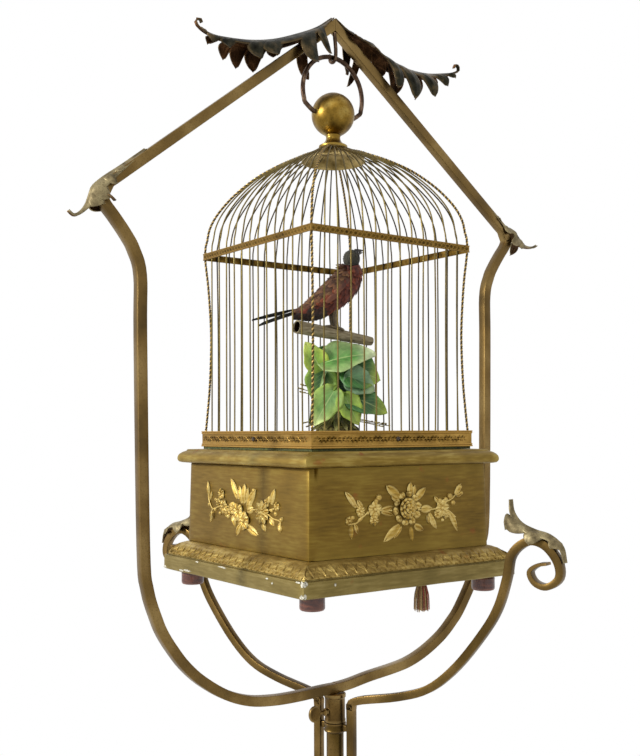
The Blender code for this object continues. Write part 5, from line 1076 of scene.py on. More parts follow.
def petal(long, wide, high, crease=0.35, cup=0.0, bend=0.0, full=0.65):
    """A raised petal or leaf along +X from the origin, with a crease and a closed back."""
    bm = bmesh.new()
    bmesh.ops.create_grid(bm, x_segments=8, y_segments=6, size=0.5)
    for vert in bm.verts:
        s, t = vert.co.x + 0.5, vert.co.y * 2
        half = wide / 2 * math.sin(math.pi * (0.08 + 0.92 * s)) ** full
        crown = max(0.0, 1 - t * t) ** 0.5
        fold = crease * math.exp(-((t / 0.22) ** 2))
        lift = high * crown * (0.45 + 0.55 * math.sin(math.pi * min(1, s * 1.1)) - fold)
        vert.co = Vector((s * long, t * half + bend * long * s * s,
                          lift + cup * s * s * (0.4 + 0.6 * t * t) - 0.5))
    rim = [e for e in bm.edges if e.is_boundary]
    bmesh.ops.holes_fill(bm, edges=rim, sides=0)
    return bm


def lay(bm, shape, x, y, turn=0.0, lift=0.0, tilt=0.0):
    """Lays a shape on the wall at this place, turned by these degrees."""
    place = Matrix.Translation((x, y, lift)) @ Matrix.Rotation(math.radians(turn), 4, "Z")
    join(bm, shape, place @ Matrix.Rotation(math.radians(tilt), 4, "Y"))


def from_to(bm, base, tip, wide, high, crease=0.35, bend=0.0, lift=0.3, cup=0.5):
    """A leaf laid from its base to its tip."""
    run = Vector(tip) - Vector(base)
    shape = petal(run.length, wide, high, crease, cup, bend)
    lay(bm, shape, base[0], base[1], math.degrees(math.atan2(run.y, run.x)), lift)


def knob(bm, x, y, radius, high, lift=0.0):
    """A round boss: a bud, or the eye of a flower."""
    ball = bmesh.new()
    bmesh.ops.create_uvsphere(ball, u_segments=12, v_segments=8, radius=1)
    bmesh.ops.scale(ball, vec=(radius, radius * 0.92, high), verts=ball.verts)
    join(bm, ball, Matrix.Translation((x, y, lift)))


def blossom(bm, x, y, radius, petals, high, start=0.0, wide=1.0, eye=0.3, lift=0.0, cup=0.8):
    """A flower: petals round an eye."""
    for i in range(petals):
        turn = start + 360 * i / petals
        at = Vector((x, y, 0)) + 0.15 * radius * level(math.radians(turn))
        shape = petal(0.9 * radius, wide * 4.4 * radius / petals, high, 0.45, cup, full=0.5)
        lay(bm, shape, at.x, at.y, turn, lift + 0.15 * (i % 2))
    knob(bm, x, y, eye * radius, high * 1.15, lift)


def stalk(bm, points, radius=0.8):
    """A stem that lies on the wall."""
    route = smooth_path([(x, y, 0.5) for x, y in points], 5)
    join(bm, tube(route, radius, 7))


def rose(bm, x, y, radius, high):
    """A full rose: rings of cupped petals that stand higher towards the heart."""
    for ring, (share, count, stand) in enumerate(((1.0, 11, 0.30), (0.74, 7, 0.55), (0.48, 5, 0.8))):
        for i in range(count):
            turn = 360 * (i + 0.5 * ring) / count + 9 * ring
            shape = petal(0.5 * radius, radius * share * 8.0 / count, high * 0.42, 0.5, high * 0.32,
                          full=0.42)
            reach = radius * share - 0.46 * radius
            lay(bm, shape, x + reach * math.cos(math.radians(turn)),
                y + reach * math.sin(math.radians(turn)), turn, high * stand - 1.0)
    for i in range(3):
        shape = petal(0.3 * radius, 0.36 * radius, high * 0.3, 0.4, high * 0.2, full=0.5)
        lay(bm, shape, x, y, 120 * i + 20, high * 0.72)
    knob(bm, x, y, 0.7 * radius, high * 0.62, 0)
    knob(bm, x, y, 0.16 * radius, high * 0.34, high * 0.72)


# %% The rose spray of the front


def rose_spray():
    """The front's spray: a full rose with smaller flowers, buds and leaves on two stems."""
    bm = bmesh.new()
    stalk(bm, [(-70, -8), (-60, -7), (-52, -1.5), (-44, 3), (-30, 3.5), (-16, 3)], 0.9)
    stalk(bm, [(-52, -1.5), (-55, 4), (-60, 10), (-70, 22)], 0.8)
    stalk(bm, [(18, 2), (32, 1.5), (46, 2.5), (56, 8), (66, 12), (77, 22)], 0.9)
    stalk(bm, [(52, 2), (62, -2), (70, -8)], 0.8)
    for i in range(10):
        turn = math.radians(36 * i + 8)
        x, y = 4.2 + 15.2 * math.cos(turn), 4.0 + 14.6 * math.sin(turn)
        shape = petal(6.6, 8.4, 2.9, 0.55, 1.0, full=0.45)
        lay(bm, shape, x - 3.4 * math.cos(turn), y - 3.4 * math.sin(turn), math.degrees(turn), 0.5)
        knob(bm, x + 1.2 * math.cos(turn + 0.33), y + 1.2 * math.sin(turn + 0.33), 2.2, 3.4, 0)
    rose(bm, 4.2, 4.1, 10.4, 7.2)
    for base, tip, wide, bend in (
        ((-5, 15), (-22, 28.5), 9.5, 0.05), ((-7, 12), (-16, 17), 6, 0.0), ((8, 17), (9.2, 30), 7.5, 0.0),
        ((13, 17), (14, 27), 5, -0.05), ((16, 12), (28.4, 24.5), 8.0, -0.05),
        ((-6, -12), (-25, -29), 10.5, -0.08), ((-3, -14), (-13, -25), 5, 0.0),
        ((14, -13), (25, -20), 8, 0.1), ((9, -15), (10.7, -29.5), 8, 0.0),
        ((-60, 8), (-71.5, 25), 6.5, 0.12), ((-52, 6), (-59, 15), 5.5, 0.0), ((-29, 4), (-14, 6), 5, 0.05),
        ((-29, 2), (-14, -1), 5, -0.05), ((-58, -6), (-51, 0), 4, 0.0), ((-66, -9), (-67, -22.5), 7, 0.05),
        ((-62, -8), (-58, -17), 5, -0.1), ((23, 2), (38, 2.4), 8.5, 0.0),
        ((60, -1), (76.5, -19), 7.0, -0.22), ((34, -2), (41.5, -19.5), 7.5, 0.12),
        ((31, -4), (33, -13), 5, 0.0), ((46, 8), (42, 15), 5, 0.1), ((70, 15), (79, 25.5), 6.5, 0.08),
        ((72, 14), (79, 15.5), 4.5, 0.0),
    ):
        from_to(bm, base, tip, wide, 2.4, 0.42, bend)
    for flower in (
        (-37.2, 5.0, 8.2, 5, 2.6, 20, 1.0, 0.3, 0.4), (51.5, 2.2, 9.2, 6, 2.6, 10, 1.05, 0.28, 0.5),
        (56.5, -4.0, 5.5, 5, 2.2, 40, 1.0, 0.3, 0.3), (45.5, -3.5, 5.0, 5, 2.0, 0, 1.0, 0.3, 0.2),
        (-38.0, -5.4, 5.6, 5, 2.4, 60, 1.05, 0.32, 0.3), (-69.0, -4.5, 4.2, 5, 2.2, 0, 1.0, 0.35, 0.2),
        (-54.8, 4.0, 5.6, 5, 2.6, 30, 1.05, 0.35, 0.3),
    ):
        blossom(bm, *flower)
    for x, y, radius in ((-32, 16.2, 3.4), (-35.5, 13, 2.6), (-64.5, -1.8, 2.4), (62.4, 14, 3.4),
                         (66.8, 7, 3.0), (56.5, 11, 2.8), (77, 22.8, 2.4), (78.6, 16.4, 2.4), (48, 10, 3.0),
                         (-46, 1.8, 2.0), (52, -10, 2.2)):
        knob(bm, x, y, radius, radius * 0.85)
    return bm


# %% The lily spray of the left side


def lily_spray():
    """The left side's spray: open flowers with long pointed leaves."""
    bm = bmesh.new()
    stalk(bm, [(-71, 20), (-70, 8), (-62, -1), (-48, 2), (-34, 3), (-15, 2)], 0.9)
    stalk(bm, [(12, 2), (28, 3), (44, 3), (58, 6)], 0.9)
    stalk(bm, [(-62, -1), (-66, -8), (-67, -14)], 0.8)
    stalk(bm, [(46, 0), (56, -4), (68, -6), (68, -14)], 0.8)
    for base, tip, wide, bend in (
        ((-12, 12), (-22.5, 33.5), 8.0, 0.08), ((-9, 12), (-15.5, 24), 5.5, 0.0),
        ((-3, 8), (-6.5, 26), 7, 0.05), ((1, 8), (2.5, 28), 8.5, 0.0), ((5, 10), (8.5, 24.5), 6, -0.06),
        ((8, 8), (22, 25), 7.5, -0.12), ((10, 6), (25, 20), 6, 0.12), ((8, 2), (16, 16), 9.5, 0.1),
        ((8, 0), (20, 3), 7.5, 0.1), ((-71.5, 12), (-72, 28), 5, 0.06), ((-69, 8), (-64, 17), 4, 0.0),
        ((-64, -4), (-68.5, -15.5), 5.5, 0.1), ((-61, -3), (-60, -12), 4.5, 0.0),
        ((-6, -14), (-14.5, -25.5), 7.5, 0.1), ((6, -14), (27, -25), 9.5, 0.12),
        ((2, -12), (14, -16), 6, 0.0), ((-22, -6), (-15, -16), 7, -0.1), ((-28, 0), (-20, 8), 7, 0.0),
        ((-24, -2), (-14, 4), 8, 0.1), ((52, 10), (57.5, 25.5), 7.0, -0.05), ((46, 10), (49, 18), 5, 0.0),
        ((49, -4), (57, -11), 7, 0.0), ((36, -9), (41, -18), 7, 0.1), ((66, -6), (73, -2), 4.5, 0.0),
        ((66, -8), (68.5, -17), 6, 0.0),
    ):
        from_to(bm, base, tip, wide, 2.6, 0.45, bend)
    for flower in (
        (3.0, -9.6, 9.8, 6, 3.2, 15, 1.1, 0.28, 1.4, 1.6),
        (-9.0, -1.0, 9.2, 5, 3.0, 40, 1.1, 0.26, 1.0, 1.4),
        (-19.0, 1.5, 7.0, 5, 2.6, 10, 1.1, 0.3, 0.6, 1.0), (-39.3, 2.2, 7.6, 6, 2.6, 10, 1.1, 0.3, 0.6),
        (-44.4, 15.4, 6.0, 5, 2.4, 30, 1.0, 0.3, 0.4), (-31.5, -4.0, 5.6, 5, 2.2, 0, 1.0, 0.32, 0.3),
        (-50.5, 6.5, 4.8, 5, 2.2, 0, 1.0, 0.32, 0.3), (37.4, 0.8, 12.0, 9, 3.2, 12, 1.0, 0.32, 1.2, 1.4),
        (37.4, 0.8, 7.4, 7, 2.8, 30, 1.0, 0.3, 2.6, 1.0), (44.0, 11.0, 4.6, 5, 2.0, 0, 1.0, 0.32, 0.3),
        (62.0, 8.3, 4.6, 5, 2.4, 20, 1.05, 0.4, 0.3),
    ):
        blossom(bm, *flower)
    for x, y, radius in ((-57, -1.5, 2.6), (-70, 3, 2.4), (60, 1, 2.6), (69.9, -4.1, 2.6),
                         (67.8, -13.6, 3.0), (53, 4, 2.4), (-56, 9, 2.2), (-47, -5, 2.4), (20, 22, 2.6)):
        knob(bm, x, y, radius, radius * 0.85)
    return bm


GARLAND_Z, WALL = -81.8, 115.5
off_wall = Matrix.Translation((0, -WALL, GARLAND_Z)) @ TIPPED
sprays = (("front", rose_spray, 1), ("left", lily_spray, 1), ("back", rose_spray, -1),
          ("right", lily_spray, -1))
for name, spray, hand in sprays:
    piece("garland_spray_" + name, spray(), garland_gold, "cage", "garland_" + name,
          ON_RAIL @ QUARTERS[name] @ off_wall @ Matrix.Diagonal((hand, 1, 1, 1)), sharp=60)

# %% [markdown]
# ## Perch
# The bird stands on a cut twig, hollow at its thick end. It is turned like a rod with a bore, laid along
# its line, and its bark is pushed in and out by a noise that is stretched along the twig.

# %% Perch
bark = patchy("perch_dry_twig_bark", [(0.3, "#5d4f37"), (0.5, "#8a7d60"), (0.7, "#a3977a")], 1.8, 0.85,
              (0.7, 0.4), 6.0, (0.16, 1.0, 1.0))

PERCH_LEFT, PERCH_RIGHT = Vector((-49, 0, 110.5)), Vector((52, 0, 100))
twig_line = PERCH_RIGHT - PERCH_LEFT
long = twig_line.length
outer = [(7.2 - 2.2 * i / 24, long * i / 24) for i in range(24)]
twig = turned([(0, 26), (4.4, 26), (5.4, 24), (5.6, 0.8), (6.1, -0.2), (6.9, -0.3), *outer, (4.8, long),
               (4.0, long + 0.6), (0, long + 0.4)], 28)
for vert in twig.verts:
    radius = vert.co.xy.length
    if radius > 4.9:
        ridge = noise.noise(Vector((vert.co.x * 0.5, vert.co.y * 0.5, vert.co.z * 0.06)))
        knot = math.exp(-(((vert.co.z - 61) / 4.5) ** 2)) * 0.9
        vert.co.xy *= 1 + (0.45 * ridge + knot * 0.35) / radius
lie = Matrix.Translation(PERCH_LEFT) @ UP.rotation_difference(twig_line).to_matrix().to_4x4()
# The bore's inner faces get the leaves' dark brown inside finish, as painted shade in the hollow.
for face in twig.faces:
    middle = face.calc_center_median()
    face.material_index = 1 if middle.z < 26.5 and middle.xy.length < 5.7 else 0
piece("perch_twig", twig, [bark, leaf_inside], "cage", "perch_branch", ON_RAIL @ lie, sharp=50)

# %% [markdown]
# ## Leaves
# The leaves are stamped from starched cloth, painted in several greens, and veined with a hot iron. One
# sheet makes each leaf: heart-shaped, folded a little on its midrib, wavy at the edge and drooping at
# its tip. The painter's shading is stored in the mesh as a colour at each point, so that every leaf has
# its own greens, and the veins are drawn on the leaf's own UV map.

# %% Cloth for the leaves


def blade_lines(tree, slant, count):
    """How far a point lies from a blade's midrib, and a wave that runs aslant from it."""
    ahead, aside, _ = add_node(tree, "SeparateXYZ",
                               {0: add_node(tree, "UVMap", uv_map="blade")}).node.outputs
    across = add_node(tree, "Math", {0: aside}, operation="ABSOLUTE")
    run = add_node(tree, "Math", {0: across, 1: -slant, 2: ahead}, operation="MULTIPLY_ADD")
    rows = add_node(tree, "Math", {0: run, 1: count}, operation="MULTIPLY")
    return across, add_node(tree, "Math", {0: rows}, operation="SINE")


def tinted(tree, strength):
    """The colour that is stored at the mesh's points, made stronger or weaker."""
    tint = add_node(tree, "Attribute", attribute_name="tint")
    return add_node(tree, "VectorMath", {0: tint, "Scale": strength}, operation="SCALE")


leaf_cloth, tree, shader, place = new_material("leaf_starched_painted_cloth", "#6f9a3f", 0.0, 0.5)
across, wave = blade_lines(tree, 0.62, 40.0)
side_veins = add_node(tree, "ValToRGB", {"Fac": wave}, stops=[(0.9, 0.0), (1.0, 0.22)])
midrib = add_node(tree, "ValToRGB", {"Fac": across}, stops=[(0.01, 0.6), (0.06, 0.0)])
veins = add_node(tree, "Math", {0: side_veins, 1: midrib}, operation="MAXIMUM")
mottle = add_node(tree, "TexNoise", {"Vector": place, "Scale": per_mm(7), "Detail": 4.0})
shade = add_node(tree, "MapRange",
                 {"Value": mottle, "From Min": 0.3, "From Max": 0.7, "To Min": 0.7, "To Max": 1.25})
veined = add_node(tree, "Mix", {"Factor": veins, 6: tinted(tree, shade), 7: "#b9cc86"}, data_type="RGBA",
                  out=2)
plug(shader, Base_Color=veined)
threads = add_node(tree, "TexNoise", {"Vector": place, "Scale": per_mm(0.9), "Detail": 2.0})
relief = add_node(tree, "Math", {0: veins, 1: -1.2, 2: threads}, operation="MULTIPLY_ADD")
bump = add_node(tree, "Bump", {"Height": relief, "Strength": 0.45, "Distance": 0.3 * MM})
plug(shader, Normal=bump)

# %% One leaf
AWAY = CAMERA_FORWARD
ACROSS = AWAY.cross(UP)
STEM = Vector((5, 0, 0))


def blend_hex(low, high, share):
    """A colour between two, as linear RGBA."""
    share = max(0.0, min(1.0, share))
    return [a + (b - a) * share for a, b in zip(linear(low), linear(high))]


def new_layers(bm):
    """The layers for the colour at each point and for the blade's own UV map."""
    return bm.verts.layers.float_color.new("tint"), bm.loops.layers.uv.new("blade")


def cloth_leaf(bm, base, tip, wide, colours, lean=0.35, fold=0.18, droop=0.16, heart=0.9, facing=None,
               seed=0):
    """A heart-shaped leaf from its base to its tip. colours are heart, edge and tip."""
    base, tip = Vector(base), Vector(tip)
    ahead = (tip - base).normalized()
    looks = Vector(facing) if facing else -AWAY * math.cos(lean) + UP * math.sin(lean)
    looks = (looks - ahead * looks.dot(ahead)).normalized()
    sideways = looks.cross(ahead)
    long = (tip - base).length
    blade = bmesh.new()
    tints, blades = new_layers(blade)
    bmesh.ops.create_grid(blade, x_segments=16, y_segments=12, size=0.5)
    for vert in blade.verts:
        s, t = vert.co.x + 0.5, vert.co.y * 2
        swell = math.sin(math.pi * s**0.62) ** 0.75 if s < 1 else 0
        half = wide / 2 * swell * (1 + 0.05 * math.sin(s * 17 + seed))
        back = heart * 0.16 * long * (1 - s) ** 2 * abs(t) ** 1.4 * (1 if s < 0.5 else 0)
        ripple = 0.035 * wide * math.sin(s * 9 + seed * 2 + t * 2) * t * t
        rise = fold * half * abs(t) ** 1.3 - droop * long * s * s + ripple + 0.1 * wide * s * (1 - s)
        vert[tints] = blend_hex(colours[0], colours[1],
                                abs(t) ** 1.5 * 0.9 + 0.25 * noise.noise(Vector((s * 3, t * 2, seed))))
        if s > 0.6:
            edge = Vector(vert[tints])
            vert[tints] = edge.lerp(Vector(linear(colours[2])), (s - 0.6) / 0.4)
        for loop in vert.link_loops:
            loop[blades].uv = (s, t)
        vert.co = base + ahead * (s * long - back) + sideways * (t * half) + looks * rise
    join(bm, blade)


# %% The stem and its leaves


def spot(a, z, toward=0.0):
    """A place by its offset to the camera's right, its height, and how far it comes towards the camera."""
    return STEM + UP * z + ACROSS * (a - 4) - AWAY * toward


DARK, GREEN, YELLOW, PALE, GREY = "#2f5a2c", "#4f8b3a", "#b4c64a", "#a9c07c", "#7f9d78"
LEAVES = [
    (spot(-13, 64, 14), spot(-30, 95, 22), 27, ("#7ea43a", YELLOW, "#c3d062"), 0.1),
    (spot(-10, 73, 18), spot(44, 88, 22), 45, ("#4f8b3a", PALE, "#d2dab0"), 0.75),
    (spot(11, 67, 20), spot(51, 57, 18), 48, (DARK, "#3f7a30", YELLOW), 0.45),
    (spot(15, 58, 26), spot(44, 43, 24), 31, ("#5d8a5a", GREY, "#a9c090"), 0.3),
    (spot(-11, 64, 14), spot(-19, 30, 22), 36, (DARK, "#8fb03a", YELLOW), 0.3),
    (spot(0, 43, 22), spot(-22, 7, 30), 33, ("#6d9c50", "#a5bd55", "#d2dc8a"), 0.4),
    (spot(11, 37, 24), spot(26, 7, 30), 27, ("#7ea43c", "#a9c24c", "#c9d66a"), 0.35),
    (spot(16, 37, 20), spot(58, 22, 22), 33, (DARK, "#3d7030", "#b9cc4a"), 0.5),
    (spot(2, 48, 10), spot(23, 28, 14), 26, ("#24452a", "#2f5632", DARK), 0.3),
]
BEHIND = [(100, 24, 74, 38), (62, 26, 50, 36), (24, 28, 26, 34), (132, 26, 24, 34), (168, 25, 46, 34),
          (80, 26, 24, 30)]
foliage = bmesh.new()
new_layers(foliage)
for i, (base, tip, wide, colours, lean) in enumerate(LEAVES):
    cloth_leaf(foliage, base, tip, wide, colours, lean, seed=i * 1.7)
for i, (bearing, reach, height, long) in enumerate(BEHIND):
    out = level(math.radians(bearing))
    middle = STEM + UP * height + out * reach
    run = out * 0.53 * long / 2 - UP * 0.85 * long / 2
    colours = ((DARK, GREEN, YELLOW), ("#5f9150", PALE, "#c4d09a"), (GREEN, "#86a944", YELLOW))[i % 3]
    cloth_leaf(foliage, middle - run, middle + run, long * 0.84, colours, facing=out * 0.85 + UP * 0.53,
               seed=11 + i)
piece("foliage_painted_leaves", foliage, leaf_cloth, "cage", normals=False,
      modifiers=[("SOLIDIFY", {"thickness": 0.5 * MM, "offset": 0.0})])

# %% Stem and moss
stem_wrap = patchy("stem_wrapped_brown_paper_and_moss",
                   [(0.32, "#2a2414"), (0.5, "#5c5228"), (0.68, "#86803a")], 4, 0.9, (0.8, 0.8), 6.0)
STEM_TUBE = [(1.8, -1.2), (4.4, -1.2), (4.2, 30), (3.9, 60), (4.1, 88), (3.7, 95.2), (1.8, 95.2),
             (1.8, -1.2)]
MOSS = [(4, -1.2), (24, -1.2), (23.4, 2), (20.5, 4.5), (15, 7), (9, 9.2), (4, 10.4), (4, -1.2)]


def leaf_stalk(stems, *ends):
    """A thin stalk that leaves the stem a little lower than the leaf's base, and rises to it."""
    root = STEM + UP * (ends[0].z - 9)
    join(stems, tube(smooth_path([root, root.lerp(ends[0], 0.5) + UP * 2, *ends[-1:]], 4), 0.8, 6))


stems = turned(STEM_TUBE, 20, STEM)
moss = turned(MOSS, 44, STEM)
bmesh.ops.subdivide_edges(moss, edges=moss.edges[:], cuts=1, use_grid_fill=True)
for vert in moss.verts:
    if vert.co.z > -1:
        vert.co += UP * (1.6 * noise.noise(vert.co / 3.0) + 0.9 * noise.noise(vert.co / 1.1))
        vert.co.xy += Vector((noise.noise(vert.co / 2.0),
                              noise.noise(vert.co / 2.2 + Vector((7, 7, 7))))) * 1.2
        vert.co.z = max(vert.co.z, -1.1)
join(stems, moss)
for base, tip, *_ in LEAVES:
    leaf_stalk(stems, base, base.lerp(tip, 0.08))
for bearing, reach, height, long in BEHIND:
    leaf_stalk(stems,
               STEM + UP * (height + 0.38 * long) + level(math.radians(bearing)) * (reach - 0.24 * long))
piece("foliage_stem_and_moss", stems, stem_wrap, "cage", "foliage", ON_RAIL, sharp=70)

# %% Dry leaves and sprigs at the foot
dry = bmesh.new()
new_layers(dry)
DRY = [(-28, 0, 24), (-14, -1, 27), (2, -1, 30), (16, 0, 26), (27, 2, 22), (-21, 3, 20), (22, 5, 18)]
for i, (a, z, toward) in enumerate(DRY):
    cloth_leaf(dry, spot(4 + (a - 4) * 0.15, 20, 6), spot(a * 0.86, z + 0.6, toward), 8.5,
               ("#5a5224", "#7a7038" if i % 2 else "#6d7a34", "#8f8648"), 0.5, heart=0.0, droop=0.05, seed=i)
for i in range(9):
    turn = math.radians(-20 + 40 * i)
    base, tip = STEM + UP * 17 + level(turn) * 4, STEM + UP * 1.5 + level(turn) * 24
    cloth_leaf(dry, base, tip, 8, ("#4d4a20", "#6d7a34", "#7d7440"), facing=level(turn) + UP * 0.9,
               heart=0.0, seed=i)
piece("foliage_dry_leaves", dry, leaf_cloth, "cage", normals=False,
      modifiers=[("SOLIDIFY", {"thickness": 0.4 * MM, "offset": 0.0})])

# %% Dry sprigs
straw = patchy("sprigs_dry_straw", [(0.35, "#6d5a30"), (0.6, "#a8985a")], 5, 0.8, detail=3.0)
sprigs = bmesh.new()
for a, z, toward, base_z in ((-39, 46, 10, 30), (-37, 42, 12, 28), (-36, 50, 8, 34), (52, 4, 20, 10),
                             (56, 7, 16, 9), (47, 8, 22, 12), (60, 5, 14, 8), (-30, 4, 14, 8),
                             (-34, 8, 10, 9)):
    route = [spot(6, base_z, 6), spot(a * 0.5, (base_z + z) / 2 + 3, toward * 0.7), spot(a, z, toward)]
    join(sprigs, tube(smooth_path(route, 5), 0.45, 5))
    for share in (0.72, 0.86, 0.98):
        bud = bmesh.new()
        bmesh.ops.create_uvsphere(bud, u_segments=6, v_segments=4, radius=0.95)
        at = route[1].lerp(route[2], share) + UP * 0.6
        join(sprigs, bud, Matrix.Translation(at) @ Matrix.Diagonal((1.5, 1, 0.8, 1)))
piece("foliage_dry_sprigs", sprigs, straw, "cage", sharp=60)

# %% [markdown]
# ## Bird
# The bird's body is carved and covered with real feathers, glued on in rows from the tail to the neck.
# The body is one swept shape, and the coat is laid on it in the same way: every feather is a small
# crowned blade that starts on the body's surface, points backwards and lies over the next row. Long dark
# feathers make the wings and the forked tail. Each feather's colour is stored at its points.

# %% Plumage
plumage, tree, shader, place = new_material("bird_feathers_matt", "#6b2a1c", 0.0, 0.75, Sheen_Weight=0.04,
                                            Sheen_Roughness=0.5)
_, barbs = blade_lines(tree, 0.8, 60.0)
strength = add_node(tree, "MapRange", {"Value": barbs, "From Min": -1.0, "To Min": 0.72, "To Max": 1.15})
plug(shader, Base_Color=tinted(tree, strength))
bump = add_node(tree, "Bump", {"Height": barbs, "Strength": 0.3, "Distance": 0.15 * MM})
plug(shader, Normal=bump)


def feather(bm, root, along, looks, long, wide, colours, seed=0.0, blunt=0.55, lift=0.06, arch=0.25):
    """A crowned feather from its root along a direction, darker or lighter to its tip."""
    along = along.normalized()
    looks = (looks - along * looks.dot(along)).normalized()
    sideways = looks.cross(along)
    blade = bmesh.new()
    tints, blades = new_layers(blade)
    bmesh.ops.create_grid(blade, x_segments=6, y_segments=4, size=0.5)
    for vert in blade.verts:
        s, t = vert.co.x + 0.5, vert.co.y * 2
        half = wide / 2 * math.sin(math.pi * (0.15 + 0.8 * s)) ** blunt
        rise = long * lift * s - arch * half * t * t + 0.04 * wide
        share = 0.8 * s + 0.45 * abs(t) ** 2 - 0.12 + 0.3 * noise.noise(Vector((seed, s * 2, t)))
        vert[tints] = blend_hex(colours[0], colours[1], share)
        for loop in vert.link_loops:
            loop[blades].uv = (s, t)
        vert.co = root + along * (s * long) + sideways * (t * half) + looks * rise
    join(bm, blade)


# %% The body's shape and its coat
bird = Matrix.Translation(STEM) @ Matrix.Rotation(math.radians(-12.6), 4, "Z")
NECK_X = 17.5
BODY = [(-45.5, 125.5, 5.8, 5.2), (-36, 128, 9.2, 9.2), (-26, 132.5, 12.4, 12.4), (-14.5, 140, 14.4, 14.8),
        (-3, 149.5, 16, 15.8), (8, 159.5, 16, 15.4), (15.5, 169.5, 13.2, 12.5), (18.2, 176.5, 10.4, 9.8),
        (NECK_X, 180.3, 8.4, 8.4)]
body_path = smooth_path([(x, 0, z) for x, z, _, _ in BODY], 4)
depths, widths = [deep for _, _, deep, _ in BODY], [wide for *_, wide in BODY]
shares = [i / (len(body_path) - 1) for i in range(len(body_path))]
stations = along_path(body_path, [(between(depths, s), between(widths, s)) for s in shares], (0, 1, 0))
body = bmesh.new()
tints, _ = new_layers(body)
join(body, sweep(round_section(24), stations))
for vert in body.verts:
    under = vert.co.x < -12 and vert.co.z < 129 + (vert.co.x + 26) * 0.6
    vert[tints] = linear("#2c1a14" if under else "#5f2418")

random.seed(7)
for i in range(1, len(stations) - 1):
    station = stations[i]
    around = 17 if i > 4 else 12
    for k in range(around):
        turn = math.tau * (k + 0.5 * (i % 2) + random.uniform(-0.15, 0.15)) / around
        root = station @ level(turn)
        looks = (root - station.translation).normalized()
        upper = looks.dot(Vector((-0.7, 0, 0.72)))
        share = i / len(stations)
        if upper > 0.35:
            colours = ("#3f2416", random.choice(("#8a5a38", "#94683f", "#6f4628", "#5a3820")))
        elif share < 0.36 and upper < 0.1:
            colours = ("#1f1512", random.choice(("#3a261c", "#2a1c16", "#4a2a1e")))
        else:
            colours = ("#3f150c", random.choice(("#8a3a1e", "#6f2c16", "#9c4c28", "#5f2412")))
        behind = stations[max(i - 3, 0)] @ level(turn)
        sway = Vector((random.uniform(-0.1, 0.1), random.uniform(-0.12, 0.12), 0))
        feather(body, root - looks * 0.3, (behind - root).normalized() + looks * 0.08 + sway,
                looks, random.uniform(8.5, 11.5), random.uniform(4.8, 6.2), colours, seed=i * 3.1 + k)

# %% Folded wings
COVERTS = [(7, 17, (7, 13.4, 163), (-7, 15.4, 147)), (6, 13, (12, 11.5, 167), (0, 14.2, 155))]
for side in (-1, 1):
    for k in range(9):
        share = k / 8
        root = Vector((8 - 8 * share, side * (12.4 + 1.8 * share), 165 - 9 * share))
        tip = Vector((-40 + 10 * share, side * (7.5 + 5 * share), 130 + 2.5 * share))
        run = tip - root
        looks = Vector((-0.35 - 0.2 * (1 - share), side * 0.9, 0.35))
        feather(body, root + looks * (0.6 + 0.35 * (8 - k) * 0.3), run, looks,
                run.length * (0.98 - 0.03 * k), 7.0, ("#3a2018", ("#6a3c28", "#4a2a1e", "#7a4a34")[k % 3]),
                seed=k * 5 + side, blunt=0.4, lift=0.0, arch=0.2)
    for row, (count, long, start, end) in enumerate(COVERTS):
        for k in range(count):
            share = k / (count - 1)
            root = Vector(start).lerp(Vector(end), share)
            root.y *= side
            run = Vector((-0.72, -side * 0.05, -0.7 + 0.1 * share))
            looks = Vector((-0.3, side * 0.95, 0.3))
            colours = ("#4d2a1e", ("#84492e", "#6a3826", "#93583a")[k % 3])
            feather(body, root + looks * (2.2 + row * 0.7), run, looks, long, 6.4, colours, k + row * 9, 0.4)
piece("bird_body_and_wings", body, plumage, "cage", on=ON_RAIL @ bird, normals=False)

# %% Legs and toes
claw = patchy("bird_legs_waxed_wire", [(0.35, "#33261a"), (0.65, "#7d6c48")], 1.2, 0.5, (0.5, 0.2), 4.0)
PERCH_RADIUS = 6.3


def on_perch(x, y, radius):
    """Where the middle of a toe lies so that it rests on the perch."""
    middle = PERCH_LEFT.lerp(PERCH_RIGHT, (x - PERCH_LEFT.x) / (PERCH_RIGHT.x - PERCH_LEFT.x))
    return Vector((x, y, middle.z + math.sqrt((PERCH_RADIUS + radius) ** 2 - y**2)))


legs = bmesh.new()
for side in (-1, 1):
    hip = bird @ Vector((-5, side * 6, 142))
    ankle = on_perch(1.5, side * 3.2, 1.6)
    knee = hip.lerp(ankle, 0.5) + Vector((-1.2, 0, 0))
    join(legs, tube(smooth_path([hip, knee, ankle], 6), [4.8 - 2.0 * min(1, i / 7) for i in range(13)], 12))
    for reach, spread in ((9.5, 0.3), (10, -0.1), (8.5, 0.6), (-14.5, 0.1)):
        toe = []
        for share in (0, 0.3, 0.6, 0.85, 1):
            x, y = 1.5 + reach * share, side * 3.2 + side * spread * reach * share * 0.45
            lift = on_perch(x, max(-5.8, min(5.8, y)), 1.3 - 0.6 * share)
            toe.append(lift + UP * (0.5 * math.sin(math.pi * share)))
        join(legs, tube(smooth_path(toe, 3), [1.9 - 1.1 * i / 12 for i in range(13)], 8))
piece("bird_legs", legs, claw, "cage", "bird_body", ON_RAIL, sharp=60)

# %% [markdown]
# The head turns on the neck, and the lower half of the beak drops open. The head has its own short
# feathers, black round the beak, and two glass bead eyes.

